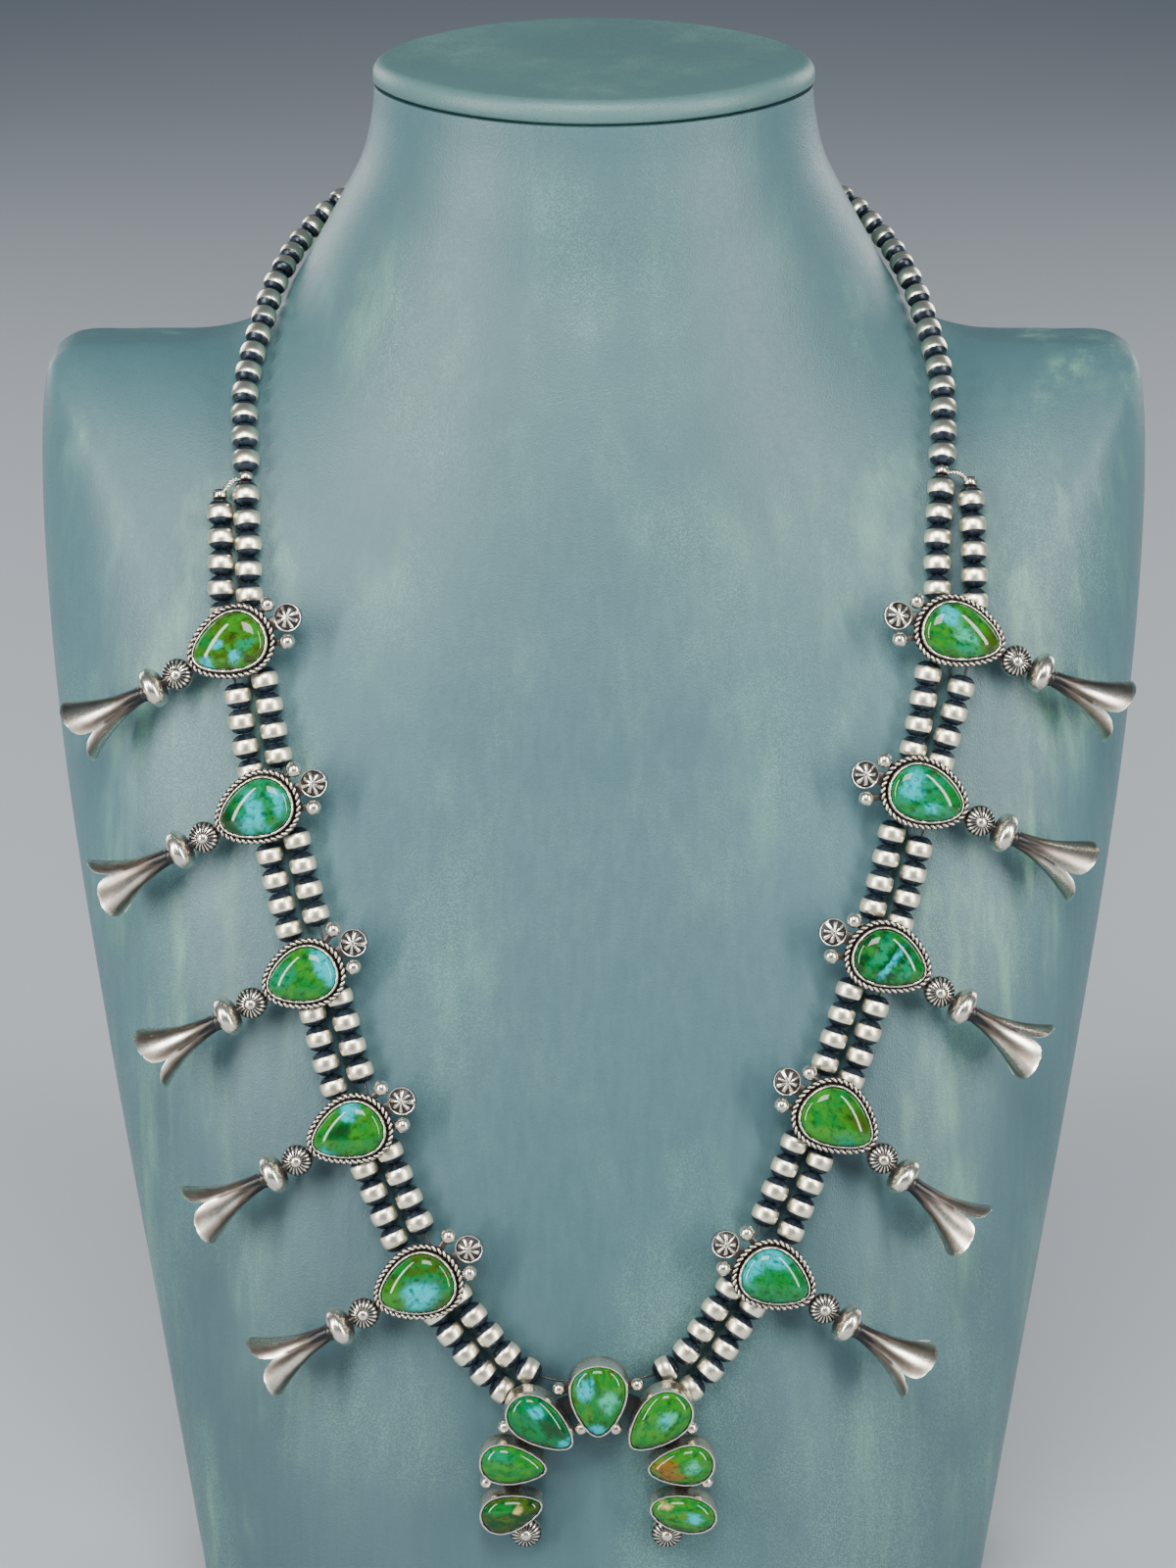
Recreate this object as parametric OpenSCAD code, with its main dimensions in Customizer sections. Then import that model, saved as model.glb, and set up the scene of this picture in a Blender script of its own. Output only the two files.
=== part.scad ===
// Squash blossom necklace on a neck bust. The bust stands on its flat base, its front faces -Y and
// +Z is up. The strings of beads lie on the bust, and the blossoms and the naja lie on the strings.

/* [Bust] */
// Greatest width of the bust, across the shoulders
bust_w = 249; // [240:1:258]
// Height of the neck's rim above the base
bust_h = 350; // [343:1:357]
// Depth of the bust, from the chest's front to the back
bust_d = 144; // [138:1:150]
// Thickness of the padded cap on the neck
cap_t = 5.5; // [5:0.5:8]
// Radius of the cap's upper edge
cap_edge = 3; // [2.5:0.5:4]
// Seam left open between the cap and the neck
seam_gap = 0.3; // [0.2:0.1:0.6]

/* [Beads] */
// Diameter of a bead on the double strand
bead_d = 6; // [5.7:0.1:6.2]
// Length of a bead on the double strand, along the thread
bead_len = 5.5; // [5.2:0.1:5.6]
// Diameter of the smallest beads, beside the clasp
neck_bead_d = 4.8; // [4.6:0.1:5.4]
// Length of the smallest beads, beside the clasp
neck_bead_len = 4.4; // [4:0.1:4.5]
// Clear gap between one bead and the next
bead_gap = 0.14; // [0.12:0.02:0.3]
// Diameter of the hole drilled through a bead
bead_hole = 1.7; // [1.6:0.1:1.8]
// Diameter of the threads
thread_d = 0.6; // [0.5:0.1:0.8]
// Distance between the two strands, centre to centre
strand_gap = 6.9; // [6.6:0.1:7.4]
// Clearance between a bead and the bust
rest_gap = 0.4; // [0.3:0.1:0.6]

/* [Blossoms] */
// Distance from the last bead below a blossom to the first bead above it, centre to centre
blossom_gap = 19.3; // [18.6:0.1:20.5]
// Thickness of the plate under a stone
plate_t = 1; // [0.8:0.1:1.4]
// Clearance between a plate and the beads under it
plate_gap = 0.25; // [0.2:0.05:0.5]
// Thickness of the bezel's wall
bezel_wall = 0.5; // [0.4:0.1:0.7]
// Height of the bezel above the plate
bezel_h = 2.2; // [1.6:0.1:3]
// Height of the stone's dome above the bezel
dome_h = 2.6; // [2:0.1:3.5]
// Clearance between a stone and its bezel
stone_gap = 0.12; // [0.1:0.02:0.2]
// Channel between the bezel and the rope border
channel = 0.3; // [0.2:0.05:0.6]
// Diameter of the twisted rope border
rope_d = 1.2; // [1:0.1:1.5]
// Diameter of the small soldered balls
ball_d = 3.5; // [3:0.1:3.8]
// Diameter of the star button
star_d = 6.2; // [5.6:0.1:6.8]
// Height of the star button's dome
star_h = 1.5; // [1:0.1:2]
// Diameter of the fluted rosette button
rosette_d = 7; // [6.2:0.1:7.6]
// Height of the rosette's dome
rosette_h = 2.2; // [1.6:0.1:2.6]
// Diameter of the flat round bead between the rosette and the flower
collar_d = 8.2; // [7.4:0.1:9]
// Length of the flat round bead, along the blossom
collar_len = 4.4; // [3.8:0.1:5]
// Length of the flower, from its neck to the tips of the petals
flower_len = 18; // [16:0.5:20]
// Radius of the flower's mouth, at the tips of the petals
flower_r = 7.8; // [7:0.1:8.4]
// Thickness of the petals
petal_t = 0.7; // [0.5:0.1:0.9]
// Length of the thread tubes on a blossom's back
tube_len = 4.4; // [3.6:0.2:4.6]
// Wall of the thread tubes
tube_wall = 0.6; // [0.5:0.1:0.8]

/* [Naja] */
// Height of the naja's bezels above its plate
naja_bezel_h = 4.6; // [4:0.2:6]
// Diameter of the rosettes at the naja's ends
naja_rosette_d = 7; // [6.2:0.1:7.4]
// Diameter of the naja's balls
naja_ball_d = 3; // [2.6:0.1:3.4]

/* [Clasp] */
// Length of the barrel clasp
clasp_len = 13.4; // [12.8:0.2:14.2]
// Diameter of the barrel clasp
clasp_d = 5.4; // [4.8:0.1:6]
// Diameter of the wire in the strand links
link_wire = 0.8; // [0.7:0.1:1]

/* [Hidden] */
$fn = 48;

// Rows of the bust from the neck's rim to the base. Lengths are shares: of half the width at the
// sides, of the depth for the Y of side, front and back, of the height for their Z. The last two
// columns say how flat the front and the back are.
//   side   side Y  side Z  front Y front Z back Y  back Z  front back
ROWS = [
    [0.396,  0.29,  1.000,   0.03,  0.994,  0.555,  1.006,  1.0,  1.0],
    [0.402,  0.29,  0.980,   0.03,  0.968,  0.555,  0.985,  1.0,  1.0],
    [0.419,  0.29,  0.955,   0.02,  0.934,  0.555,  0.960,  1.0,  1.0],
    [0.454,  0.29,  0.930,   0.01,  0.897,  0.555,  0.932,  1.05, 0.95],
    [0.498,  0.29,  0.901,  -0.02,  0.852,  0.555,  0.897,  1.1,  0.85],
    [0.546,  0.285, 0.871,  -0.055, 0.803,  0.555,  0.858,  1.15, 0.75],
    [0.606,  0.27,  0.846,  -0.09,  0.749,  0.55,   0.814,  1.2,  0.68],
    [0.707,  0.257, 0.835,  -0.125, 0.694,  0.54,   0.771,  1.25, 0.6],
    [0.851,  0.236, 0.8345, -0.16,  0.640,  0.535,  0.732,  1.3,  0.5],
    [0.962,  0.222, 0.832,  -0.187, 0.589,  0.53,   0.691,  1.3,  0.45],
    [0.998,  0.194, 0.806,  -0.222, 0.531,  0.52,   0.635,  1.3,  0.45],
    [0.999,  0.146, 0.709,  -0.264, 0.466,  0.514,  0.560,  1.3,  0.45],
    [0.964,  0.07,  0.571,  -0.32,  0.375,  0.5,    0.451,  1.3,  0.45],
    [0.892, -0.014, 0.400,  -0.375, 0.263,  0.48,   0.314,  1.3,  0.45],
    [0.791, -0.097, 0.188,  -0.424, 0.126,  0.458,  0.149,  1.3,  0.45],
    [0.707, -0.14,  0.000,  -0.444, 0.000,  0.444,  0.000,  1.3,  0.45]];
BUST_SIDES = 36;
ROW_STEP = 0.5;
CAP_FULL = 1.008;

// Chosen points of the main strand: angle round the bust in degrees, 0 at the front and positive to
// the right, and place among the rows. Both sides start beside the naja and end behind the neck.
NAJA_POINT = [0, 13.33];
BACK_POINT = [-180, 3.3];
LEFT_ROUTE = [[-7.7, 13.3], [-13.7, 13.09], [-17.6, 12.86], [-21.4, 12.5], [-25.2, 12.02],
    [-27.4, 11.6], [-30.2, 11.08], [-32.4, 10.54], [-34.4, 10.05], [-36.5, 9.48], [-40.2, 8.8],
    [-45, 8.14], [-52.2, 7.55], [-62.3, 6.98], [-71.5, 6.38], [-79.5, 5.8], [-85, 5.4],
    [-90, 5.02], [-95.5, 4.7], [-101.5, 4.42], [-107, 4.12], [-112.5, 3.82], [-120.5, 3.56],
    [-134, 3.4], [-155, 3.32]];
RIGHT_ROUTE = [[8.8, 13.29], [13.8, 13.06], [17.4, 12.82], [21, 12.43], [25, 11.94],
    [27.4, 11.58], [30.2, 11.06], [32.6, 10.5], [34.9, 10.05], [37, 9.5], [40.6, 8.7],
    [45.4, 8.06], [52.2, 7.55], [62.3, 6.98], [71.5, 6.4], [79.5, 5.84], [85, 5.43],
    [90, 5.04], [95.5, 4.72], [101.5, 4.43], [107, 4.13], [112.5, 3.83], [120.5, 3.57], [134, 3.4],
    [155, 3.32]];

// Beads in each run of the double strand, from the naja up
RUNS = [5, 4, 4, 4, 4, 5];
// How far the outer strand's beads sit below the inner strand's, run by run, on the left and right
SHIFTS = [[0, 0], [1.6, 1.6], [2, 2], [2, 2], [2.1, 1.4], [3.4, 1.6]];
// Beads over which the single strand grows smaller
GROWING = 16;

// Blossoms: number from the top, drop of the stone's centre below the middle of its gap, distance
// outward from the main strand, turn of the axis down from square to the strand, tip of the outer
// end towards the bust, stone length and width, how much narrower the outer end is, lean of the
// point, turn of the petals, and how far the star and its balls sit off the axis
//           no  drop   out  turn  tip  long  wide  narrow lean petals star
LEFT = [
            [1,  0.5,  5.0, 16.3,  6,   16.6, 12.4, 0.30,  0.5,  -30,  1.1],
            [2,  0.85, 6.3, 15.1,  2,   16.4, 12.2, 0.26,  0.3,   28,  0.8],
            [3,  2.6,  5.7, 12.2,  0,   15.2, 11.8, 0.28,  0.6,  -26, -1.2],
            [4,  1.9,  6.0,  9.7,  0,   15.9, 12,   0.34,  0.8,   24, -0.1],
            [5,  2.2,  5.8,  1.1,  0,   16.5, 13.2, 0.32,  0.6,   14, -1.6]];
RIGHT = [
            [1,  0.05, 4.8, 17.6,  6,   17.2, 12,   0.32, -0.8,   24, -2.4],
            [2, -0.6,  4.2, 10.8,  2,   16.7, 11.9, 0.24, -0.3,   22, -1.7],
            [3,  0.4,  5.7, 16.8,  0,   16,   12.3, 0.30, -0.8,  -28, -1.6],
            [4,  0.9,  6.0, 19.7,  0,   16.4, 12.9, 0.36, -0.8,  -26, -0.8],
            [5,  1.8,  7.0,  7.1,  0,   15.3, 12,   0.34, -0.6,   28,  0.3]];

// Naja stones: place of the centre right of and above the main thread, direction of the point,
// length, width, how much narrower the point is
//                x       y     aim   long  wide  narrow
NAJA_STONES = [[  1,     -1.1,  -90,  16.2, 12.1, 0.34],
               [-11.8,   -6.7,  -38,  16.3, 10,   0.34],
               [-18,    -16.6,   -8,  14.1,  8.9, 0.34],
               [-18.4,  -28.1,   17,  13.4,  8.3, 0.34],
               [ 14.4,   -6.2, -135,  16.1, 10.7, 0.34],
               [ 19.5,  -16.8,  188,  14,    9,   0.34],
               [ 20,    -28.4,  168,  14.2,  8.1, 0.10]];
// Naja balls, and the two rosettes at its ends
NAJA_BALLS = [[-7.8, 0.2], [9.6, 1.2], [-20, -9], [21.8, -9.2], [-24, -22.4], [25.2, -22.3],
    [-2.9, -9.4], [4.9, -9.4]];
NAJA_ROSETTES = [[-15.2, -34.9], [16.4, -35]];

HALF_W = bust_w / 2;
THREAD_H = bead_d / 2 + rest_gap;
PLATE_H = bead_d + rest_gap + plate_gap;
PITCH = bead_len + bead_gap;

// Curve through chosen points: place t between the second and third of four
function blend(a, b, c, d, t) =
    0.5 * (2 * b + (c - a) * t + (2 * a - 5 * b + 4 * c - d) * t * t + (3 * b - a - 3 * c + d) * t * t * t);
function row(v) =
    let (last = len(ROWS) - 1, i = min(max(floor(v), 0), last - 1), t = v - i,
        b = ROWS[i], c = ROWS[i + 1],
        a = i > 0 ? ROWS[i - 1] : 2 * b - c, d = i + 2 <= last ? ROWS[i + 2] : 2 * c - b)
    blend(a, b, c, d, t);

// Point of the bust's surface at an angle round it and a place among the rows
function skin(a, v) =
    let (r = row(v), s = sin(a), c = cos(a), p = pow(abs(c), c > 0 ? r[7] : r[8]),
        y = c > 0 ? r[3] : r[5], z = c > 0 ? r[4] : r[6])
    [HALF_W * r[0] * s, bust_d * (r[1] + (y - r[1]) * p), bust_h * (r[2] + (z - r[2]) * c * c)];
function unit(v) = v / norm(v);
function outward(a, v) =
    unit(cross(skin(a, v + 0.02) - skin(a, v - 0.02), skin(a + 0.5, v) - skin(a - 0.5, v)));
function centre(points) =
    [for (k = [0:2]) let (c = [for (p = points) p[k]]) c * [for (p = points) 1] / len(c)];

// The main strand's closed route, as chosen points with the ends repeated
FULL_TURN = [360, 0];
LOOP = concat([RIGHT_ROUTE[0]], [NAJA_POINT], LEFT_ROUTE, [BACK_POINT],
    [for (i = [len(RIGHT_ROUTE) - 1:-1:0]) RIGHT_ROUTE[i] - FULL_TURN],
    [NAJA_POINT - FULL_TURN], [LEFT_ROUTE[0] - FULL_TURN]);
SPANS = len(LOOP) - 3;
BACK_U = len(LEFT_ROUTE) + 1;
function route(u) =
    let (i = min(max(floor(u), 0), SPANS - 1))
    blend(LOOP[i], LOOP[i + 1], LOOP[i + 2], LOOP[i + 3], u - i);
function on_skin(u) = let (r = route(u)) skin(r[0], r[1]);
function up_from(u) = let (r = route(u)) outward(r[0], r[1]);
function onward(u) =
    let (n = up_from(u), t = on_skin(u + 0.02) - on_skin(u - 0.02)) unit(t - n * (n * t));
function aside(u) = cross(up_from(u), onward(u));
// The strands spread above the last blossom on the right and draw together at their links: place on
// the route, share of the strand gap
SPREAD = [[0, 1], [9, 1], [12.5, 0.86], [SPANS - 12.7, 0.95], [SPANS - 11.9, 1.2], [SPANS - 10.3, 1.25],
    [SPANS - 9, 1], [SPANS, 1]];
function thread_point(u, out) = on_skin(u) + aside(u) * out * lookup(u, SPREAD) + up_from(u) * THREAD_H;
function thread_way(u, out) = unit(thread_point(u + 0.02, out) - thread_point(u - 0.02, out));

// Length along a strand against place on the route
STEPS = SPANS * 8;
function lengths(out) =
    let (p = [for (i = [0:STEPS]) thread_point(SPANS * i / STEPS, out)])
    [for (i = 0, s = 0; i <= STEPS; s = s + (i < STEPS ? norm(p[i + 1] - p[i]) : 0), i = i + 1)
        [s, SPANS * i / STEPS]];
MAIN_LENGTHS = lengths(0);
OUTER_LENGTHS = lengths(strand_gap);
OUTER_BY_U = [for (p = OUTER_LENGTHS) [p[1], p[0]]];
MAIN_TOTAL = MAIN_LENGTHS[STEPS][0];
MAIN_BACK = lookup(BACK_U, [for (p = MAIN_LENGTHS) [p[1], p[0]]]);
function main_u(s) = lookup(s, MAIN_LENGTHS);
function outer_u(s) = lookup(s, OUTER_LENGTHS);
function outer_s(u) = lookup(u, OUTER_BY_U);

// Places along the double strand, measured from the naja. side is -1 on the left, 1 on the right.
// The first bead's centre lies NAJA_REACH from the naja's middle, and a strand link takes LINK_STEP.
NAJA_REACH = [15, 16.4];
LINK_STEP = 8.5;
function run_start(j, side) = j == 0 ? NAJA_REACH[(side + 1) / 2] : run_end(j - 1, side) + blossom_gap;
function run_end(j, side) = run_start(j, side) + (RUNS[j] - 1) * PITCH;
function from_naja(s, side) = side < 0 ? main_u(s) : main_u(MAIN_TOTAL - s);
// A bead is [place along its own strand, diameter, length]. The next one down or up the strand keeps
// its gap on the inner side of a bend too, where the ends of two beads lean together.
function strand_u(s, out) = out > 0 ? outer_u(s) : main_u(s);
function end_radius(b) = sqrt(max(b[1] * b[1] - b[2] * b[2], 0)) / 2;
function next_bead(a, d, length, way, out) =
    let (straight = (a[2] + length) / 2 + bead_gap, b = [a[0] + way * straight, d, length],
        u = strand_u(a[0], out), w = strand_u(b[0], out),
        bend = acos(min(thread_way(u, out) * thread_way(w, out), 1)),
        short = straight - norm(thread_point(w, out) - thread_point(u, out)))
    [b[0] + way * (short + (end_radius(a) + end_radius(b)) * sin(bend / 2)), d, length];
function run_of_beads(start, count, way, out) =
    [for (k = 0, b = [start, bead_d, bead_len]; k < count;
        b = next_bead(b, bead_d, bead_len, way, out), k = k + 1) b];
function main_s(s, side) = side < 0 ? s : MAIN_TOTAL - s;
function inner_run(j, side) = run_of_beads(main_s(run_start(j, side), side), RUNS[j], -side, 0);
function outer_run(j, side) =
    let (beside = outer_s(from_naja(run_end(j, side), side)))
    run_of_beads(beside + side * SHIFTS[j][(side + 1) / 2], RUNS[j], side, strand_gap);

// Beads of the single strand, from the strand link to the clasp
function neck_start(side) = run_end(len(RUNS) - 1, side) + LINK_STEP;
function grade(i, first, last) = first + (last - first) * min(i / GROWING, 1);
function neck_beads(side) =
    [for (i = 0, b = [main_s(neck_start(side), side), bead_d, bead_len];
        abs(b[0] - MAIN_BACK) > (clasp_len + b[2]) / 2 + bead_gap;
        b = next_bead(b, grade(i + 1, bead_d, neck_bead_d), grade(i + 1, bead_len, neck_bead_len),
            -side, 0),
        i = i + 1) b];
function last_place(beads) = beads[len(beads) - 1][0];
function clasp_u() = main_u((last_place(neck_beads(-1)) + last_place(neck_beads(1))) / 2);

// Rigid placement with its origin and its three directions
function placed(o, x, y, z) =
    [[x[0], y[0], z[0], o[0]], [x[1], y[1], z[1], o[1]], [x[2], y[2], z[2], o[2]], [0, 0, 0, 1]];
function along(p, t, n) = let (m = unit(n - t * (t * n))) placed(p, m, cross(t, m), t);
function at_thread(u, out) = along(thread_point(u, out), thread_way(u, out), up_from(u));

// Pear outline, its narrow end towards +X
PEAR_SIDES = 40;
function pear(long, wide, narrow, lean, sides = PEAR_SIDES) =
    [for (i = [0:sides - 1]) let (t = 360 * i / sides, fill = 1 + narrow * narrow / 2)
        [long / 2 * cos(t), wide / 2 * sin(t) * (1 - narrow * cos(t)) / fill - lean * cos(t)]];
function grown(p, d) =
    let (n = len(p))
    [for (i = [0:n - 1]) let (t = p[(i + 1) % n] - p[(i + n - 1) % n]) p[i] + d * unit([t[1], -t[0]])];

// Closed skin over rings of points, with a fan over each end
module skinned(rings) {
    n = len(rings[0]);
    m = len(rings);
    points = concat([for (r = rings) each r], [centre(rings[0])], [centre(rings[m - 1])]);
    sides = [for (i = [0:m - 2], j = [0:n - 1]) let (k = (j + 1) % n)
        each [[(i + 1) * n + k, (i + 1) * n + j, i * n + j], [i * n + k, (i + 1) * n + k, i * n + j]]];
    first = [for (j = [0:n - 1]) [(j + 1) % n, j, m * n]];
    last = [for (j = [0:n - 1]) [(m - 1) * n + j, (m - 1) * n + (j + 1) % n, m * n + 1]];
    polyhedron(points, concat(sides, first, last));
}

// Closed loop of rings, the last joined to the first
module looped(rings) {
    n = len(rings[0]);
    m = len(rings);
    polyhedron([for (r = rings) each r],
        [for (i = [0:m - 1], j = [0:n - 1]) let (k = (j + 1) % n, h = (i + 1) % m)
            each [[h * n + k, h * n + j, i * n + j], [i * n + k, h * n + k, i * n + j]]]);
}

function section(p, t, n, r, sides, turn = 0) =
    let (m = unit(n - t * (t * n)), b = cross(t, m))
    [for (j = [0:sides - 1]) let (a = turn - 360 * j / sides) p + r * (cos(a) * m + sin(a) * b)];

function bust_ring(v, grow = 1, lift = 0) =
    [for (j = [0:BUST_SIDES - 1]) let (p = skin(360 * j / BUST_SIDES, v), m = skin(0, v), q = skin(180, v),
        c = [0, (m[1] + q[1]) / 2, 0]) [p[0] * grow, c[1] + (p[1] - c[1]) * grow, p[2] + lift]];

module neck_bust() {
    color([0.42, 0.53, 0.54])
        skinned([for (v = [0:ROW_STEP:len(ROWS) - 1]) bust_ring(v)]);
}

// The cap keeps the rim's outline and rounds over it
module neck_cap() {
    rim = HALF_W * ROWS[0][0];
    top = seam_gap + cap_t;
    color([0.47, 0.58, 0.58])
        skinned([
            bust_ring(0, 0.3, top),
            bust_ring(0, 1 - 2.2 * cap_edge / rim, top),
            for (a = [75:-25:0])
                bust_ring(0, CAP_FULL - cap_edge * (1 - cos(a)) / rim, top - cap_edge * (1 - sin(a))),
            bust_ring(0, CAP_FULL - 0.2 / rim, seam_gap + 0.6),
            bust_ring(0, CAP_FULL - 1 / rim, seam_gap)]);
}

THREAD_SIDES = 4;
MAIN_PIECES = 200;
OUTER_PIECES = 92;
module main_thread() {
    color([0.2, 0.2, 0.22])
        looped([for (i = [0:MAIN_PIECES - 1]) let (u = main_u(MAIN_TOTAL * i / MAIN_PIECES))
            section(thread_point(u, 0), thread_way(u, 0), up_from(u), thread_d / 2, THREAD_SIDES)]);
}

// The outer thread runs from one strand link down to the naja and up to the other
CRIMP = 2;
CRIMP_GAP = 0.3;
function link_end(side) =
    outer_run(len(RUNS) - 1, side)[0][0] - side * ((bead_len + CRIMP) / 2 + CRIMP_GAP);
module outer_thread() {
    top = link_end(-1) - CRIMP / 4;
    foot = OUTER_LENGTHS[STEPS][0] - link_end(1) - CRIMP / 4;
    color([0.2, 0.2, 0.22])
        skinned([for (i = [0:OUTER_PIECES]) let (s = top - (top + foot) * i / OUTER_PIECES,
            u = outer_u(s < 0 ? s + OUTER_LENGTHS[STEPS][0] : s))
            section(thread_point(u, strand_gap), -thread_way(u, strand_gap), up_from(u),
                thread_d / 2, THREAD_SIDES)]);
}

// One drilled bead, its hole along Z
module bead(d = bead_d, length = bead_len, hole = bead_hole)
    rotate_extrude()
        intersection() {
            circle(d = d);
            translate([hole / 2, -length / 2]) square([d, length]);
        }

module beads(list, out)
    for (b = list) multmatrix(at_thread(strand_u(b[0], out), out)) bead(b[1], b[2]);

module neck_string(side) beads(neck_beads(side), 0);
module inner_string(side) beads([for (j = [0:len(RUNS) - 1]) each inner_run(j, side)], 0);
module outer_string(side) beads([for (j = [0:len(RUNS) - 1]) each outer_run(j, side)], strand_gap);

module silver() color([0.78, 0.76, 0.72]) children();

// Two twisted wires from a crimp on the main thread to one on the end of the outer thread, bowed clear
// of the beads between them
LINK_BOW = 2.5;
LINK_TURN = 60;
LINK_PIECES = 8;
module strand_link(side) {
    u = main_u((last_place(inner_run(len(RUNS) - 1, side)) + main_s(neck_start(side), side)) / 2);
    w = outer_u(link_end(side));
    a = thread_point(u, 0);
    b = thread_point(w, strand_gap);
    n = up_from(u);
    way = unit(b - a);
    crimp_d = bead_hole + 2 * tube_wall;
    reach = norm(b - a) - crimp_d * 0.7;
    silver() {
        multmatrix(at_thread(u, 0)) bead(crimp_d * 1.15, CRIMP);
        multmatrix(at_thread(w, strand_gap)) bead(crimp_d * 1.15, CRIMP);
        for (k = [0, 180])
            skinned([for (i = [0:LINK_PIECES]) let (t = i / LINK_PIECES, turn = k + i * LINK_TURN,
                m = unit(n - way * (way * n)), c = cross(way, m))
                section(a + way * (crimp_d * 0.35 + reach * t) + n * LINK_BOW * sin(180 * t)
                    + link_wire * 0.35 * (cos(turn) * m + sin(turn) * c), way, n, link_wire / 2, 6)]);
    }
}

// Barrel clasp with a raised band and a short collar at each end
CLASP_BAND = 0.4;
CLASP_END = 1.6;
module clasp() {
    hole = bead_hole + 0.8;
    band = CLASP_BAND;
    silver() multmatrix(at_thread(clasp_u(), 0)) rotate_extrude() {
        translate([hole / 2, -clasp_len / 2 - CLASP_END]) square([tube_wall, clasp_len + 2 * CLASP_END]);
        translate([hole / 2, -clasp_len / 2]) square([(clasp_d - hole) / 2 - band, clasp_len]);
        translate([hole / 2, -clasp_len / 6]) square([(clasp_d - hole) / 2, clasp_len / 3]);
    }
}

// Frame of a blossom: origin at the middle of its plate's back, X outward along the blossom, Z up
function table(side) = side < 0 ? LEFT : RIGHT;
function blossom_u(b, side) =
    from_naja(run_end(len(RUNS) - 1 - b[0], side) + blossom_gap / 2 - b[1], side);
function blossom_frame(b, side) =
    let (u = blossom_u(b, side), n = up_from(u), t = onward(u), o = aside(u),
        flat = o * cos(b[3]) + side * t * sin(b[3]),
        x = flat * cos(b[4]) - n * sin(b[4]),
        z = n * cos(b[4]) + flat * sin(b[4]))
    placed(on_skin(u) + o * b[2] + n * PLATE_H, x, cross(z, x), z);
function blossom_stone(b, d = 0) = grown(pear(b[5], b[6], b[7], b[8]), d);

// Rope: a three-sided bar twisted along an outline, its lobes about a rope's width apart
ROPE_SIDES = 3;
module rope(outline, z) {
    n = len(outline);
    round_trip = [for (i = 0, s = 0; i <= n; s = s + (i < n ? norm(outline[(i + 1) % n] - outline[i]) : 0),
        i = i + 1) s];
    total = round_trip[n];
    lobes = ROPE_SIDES * round(total / (1.25 * rope_d * ROPE_SIDES));
    xs = [for (i = [0:n]) [round_trip[i], outline[i % n][0]]];
    ys = [for (i = [0:n]) [round_trip[i], outline[i % n][1]]];
    rings = 2 * lobes;
    looped([for (i = [0:rings - 1]) let (s = total * i / rings, e = total / rings,
        p = [lookup(s, xs), lookup(s, ys), z],
        q = [lookup((s + e) % total, xs), lookup((s + e) % total, ys), z],
        o = [lookup((s + total - e) % total, xs), lookup((s + total - e) % total, ys), z])
        section(p, unit(q - o), [0, 0, 1], rope_d * 0.56, ROPE_SIDES, 180 / ROPE_SIDES * i)]);
}

// Domed cap of a given diameter and height, standing on z = 0
function dome_radius(d, h) = (d * d / 4 + h * h) / (2 * h);
module dome(d, h)
    rotate_extrude()
        intersection() {
            translate([0, h - dome_radius(d, h)]) circle(r = dome_radius(d, h), $fn = 96);
            square([d, h + 1]);
        }

module ball(x, y, d)
    translate([x, y, d / 2 - 0.2])
        rotate_extrude() intersection() { circle(d = d); translate([0, -d]) square(2 * d); }

// Star button: low dome with eight raised rays inside a rim
module star_button(x, y) {
    rim = 0.5;
    ray = 0.36;
    base = plate_t;
    translate([x, y, 0]) {
        cylinder(d = star_d, h = base);
        translate([0, 0, base]) dome(star_d - 2 * rim, star_h - 0.25);
        translate([0, 0, base]) difference() {
            cylinder(d = star_d, h = 0.6);
            translate([0, 0, -0.1]) cylinder(d = star_d - 2 * rim, h = 1);
        }
        translate([0, 0, base]) intersection() {
            dome(star_d - rim, star_h);
            for (a = [0:45:135])
                rotate([0, 0, a]) translate([-star_d / 2, -ray / 2, 0]) cube([star_d, ray, star_h]);
        }
    }
}

// Rosette button: fluted dome round a polished boss, on a round base
FLUTES = 9;
module rosette(x, y, d) {
    flute = 0.34;
    translate([x, y, 0]) {
        cylinder(d = d, h = plate_t);
        translate([0, 0, plate_t - 0.01]) difference() {
            dome(d - 0.5, rosette_h);
            for (i = [0:FLUTES - 1]) rotate([0, 0, 180 * i / FLUTES])
                translate([-d / 2, -flute / 2, 0.2]) cube([d, flute, rosette_h]);
        }
        translate([0, 0, plate_t - 0.01]) cylinder(d = 0.36 * d, h = rosette_h * 0.86);
        translate([0, 0, plate_t + rosette_h * 0.86 - 0.02]) dome(0.36 * d, 0.5);
    }
}

// Flower: a thin trumpet, cut into three petals with round tips
//         how far along and radius, as shares of the flower's length and of its mouth's radius
TRUMPET = [[0.00, 0.23], [0.20, 0.26], [0.42, 0.38], [0.62, 0.57], [0.80, 0.79], [0.92, 0.93],
    [1.02, 1.02]];
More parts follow.
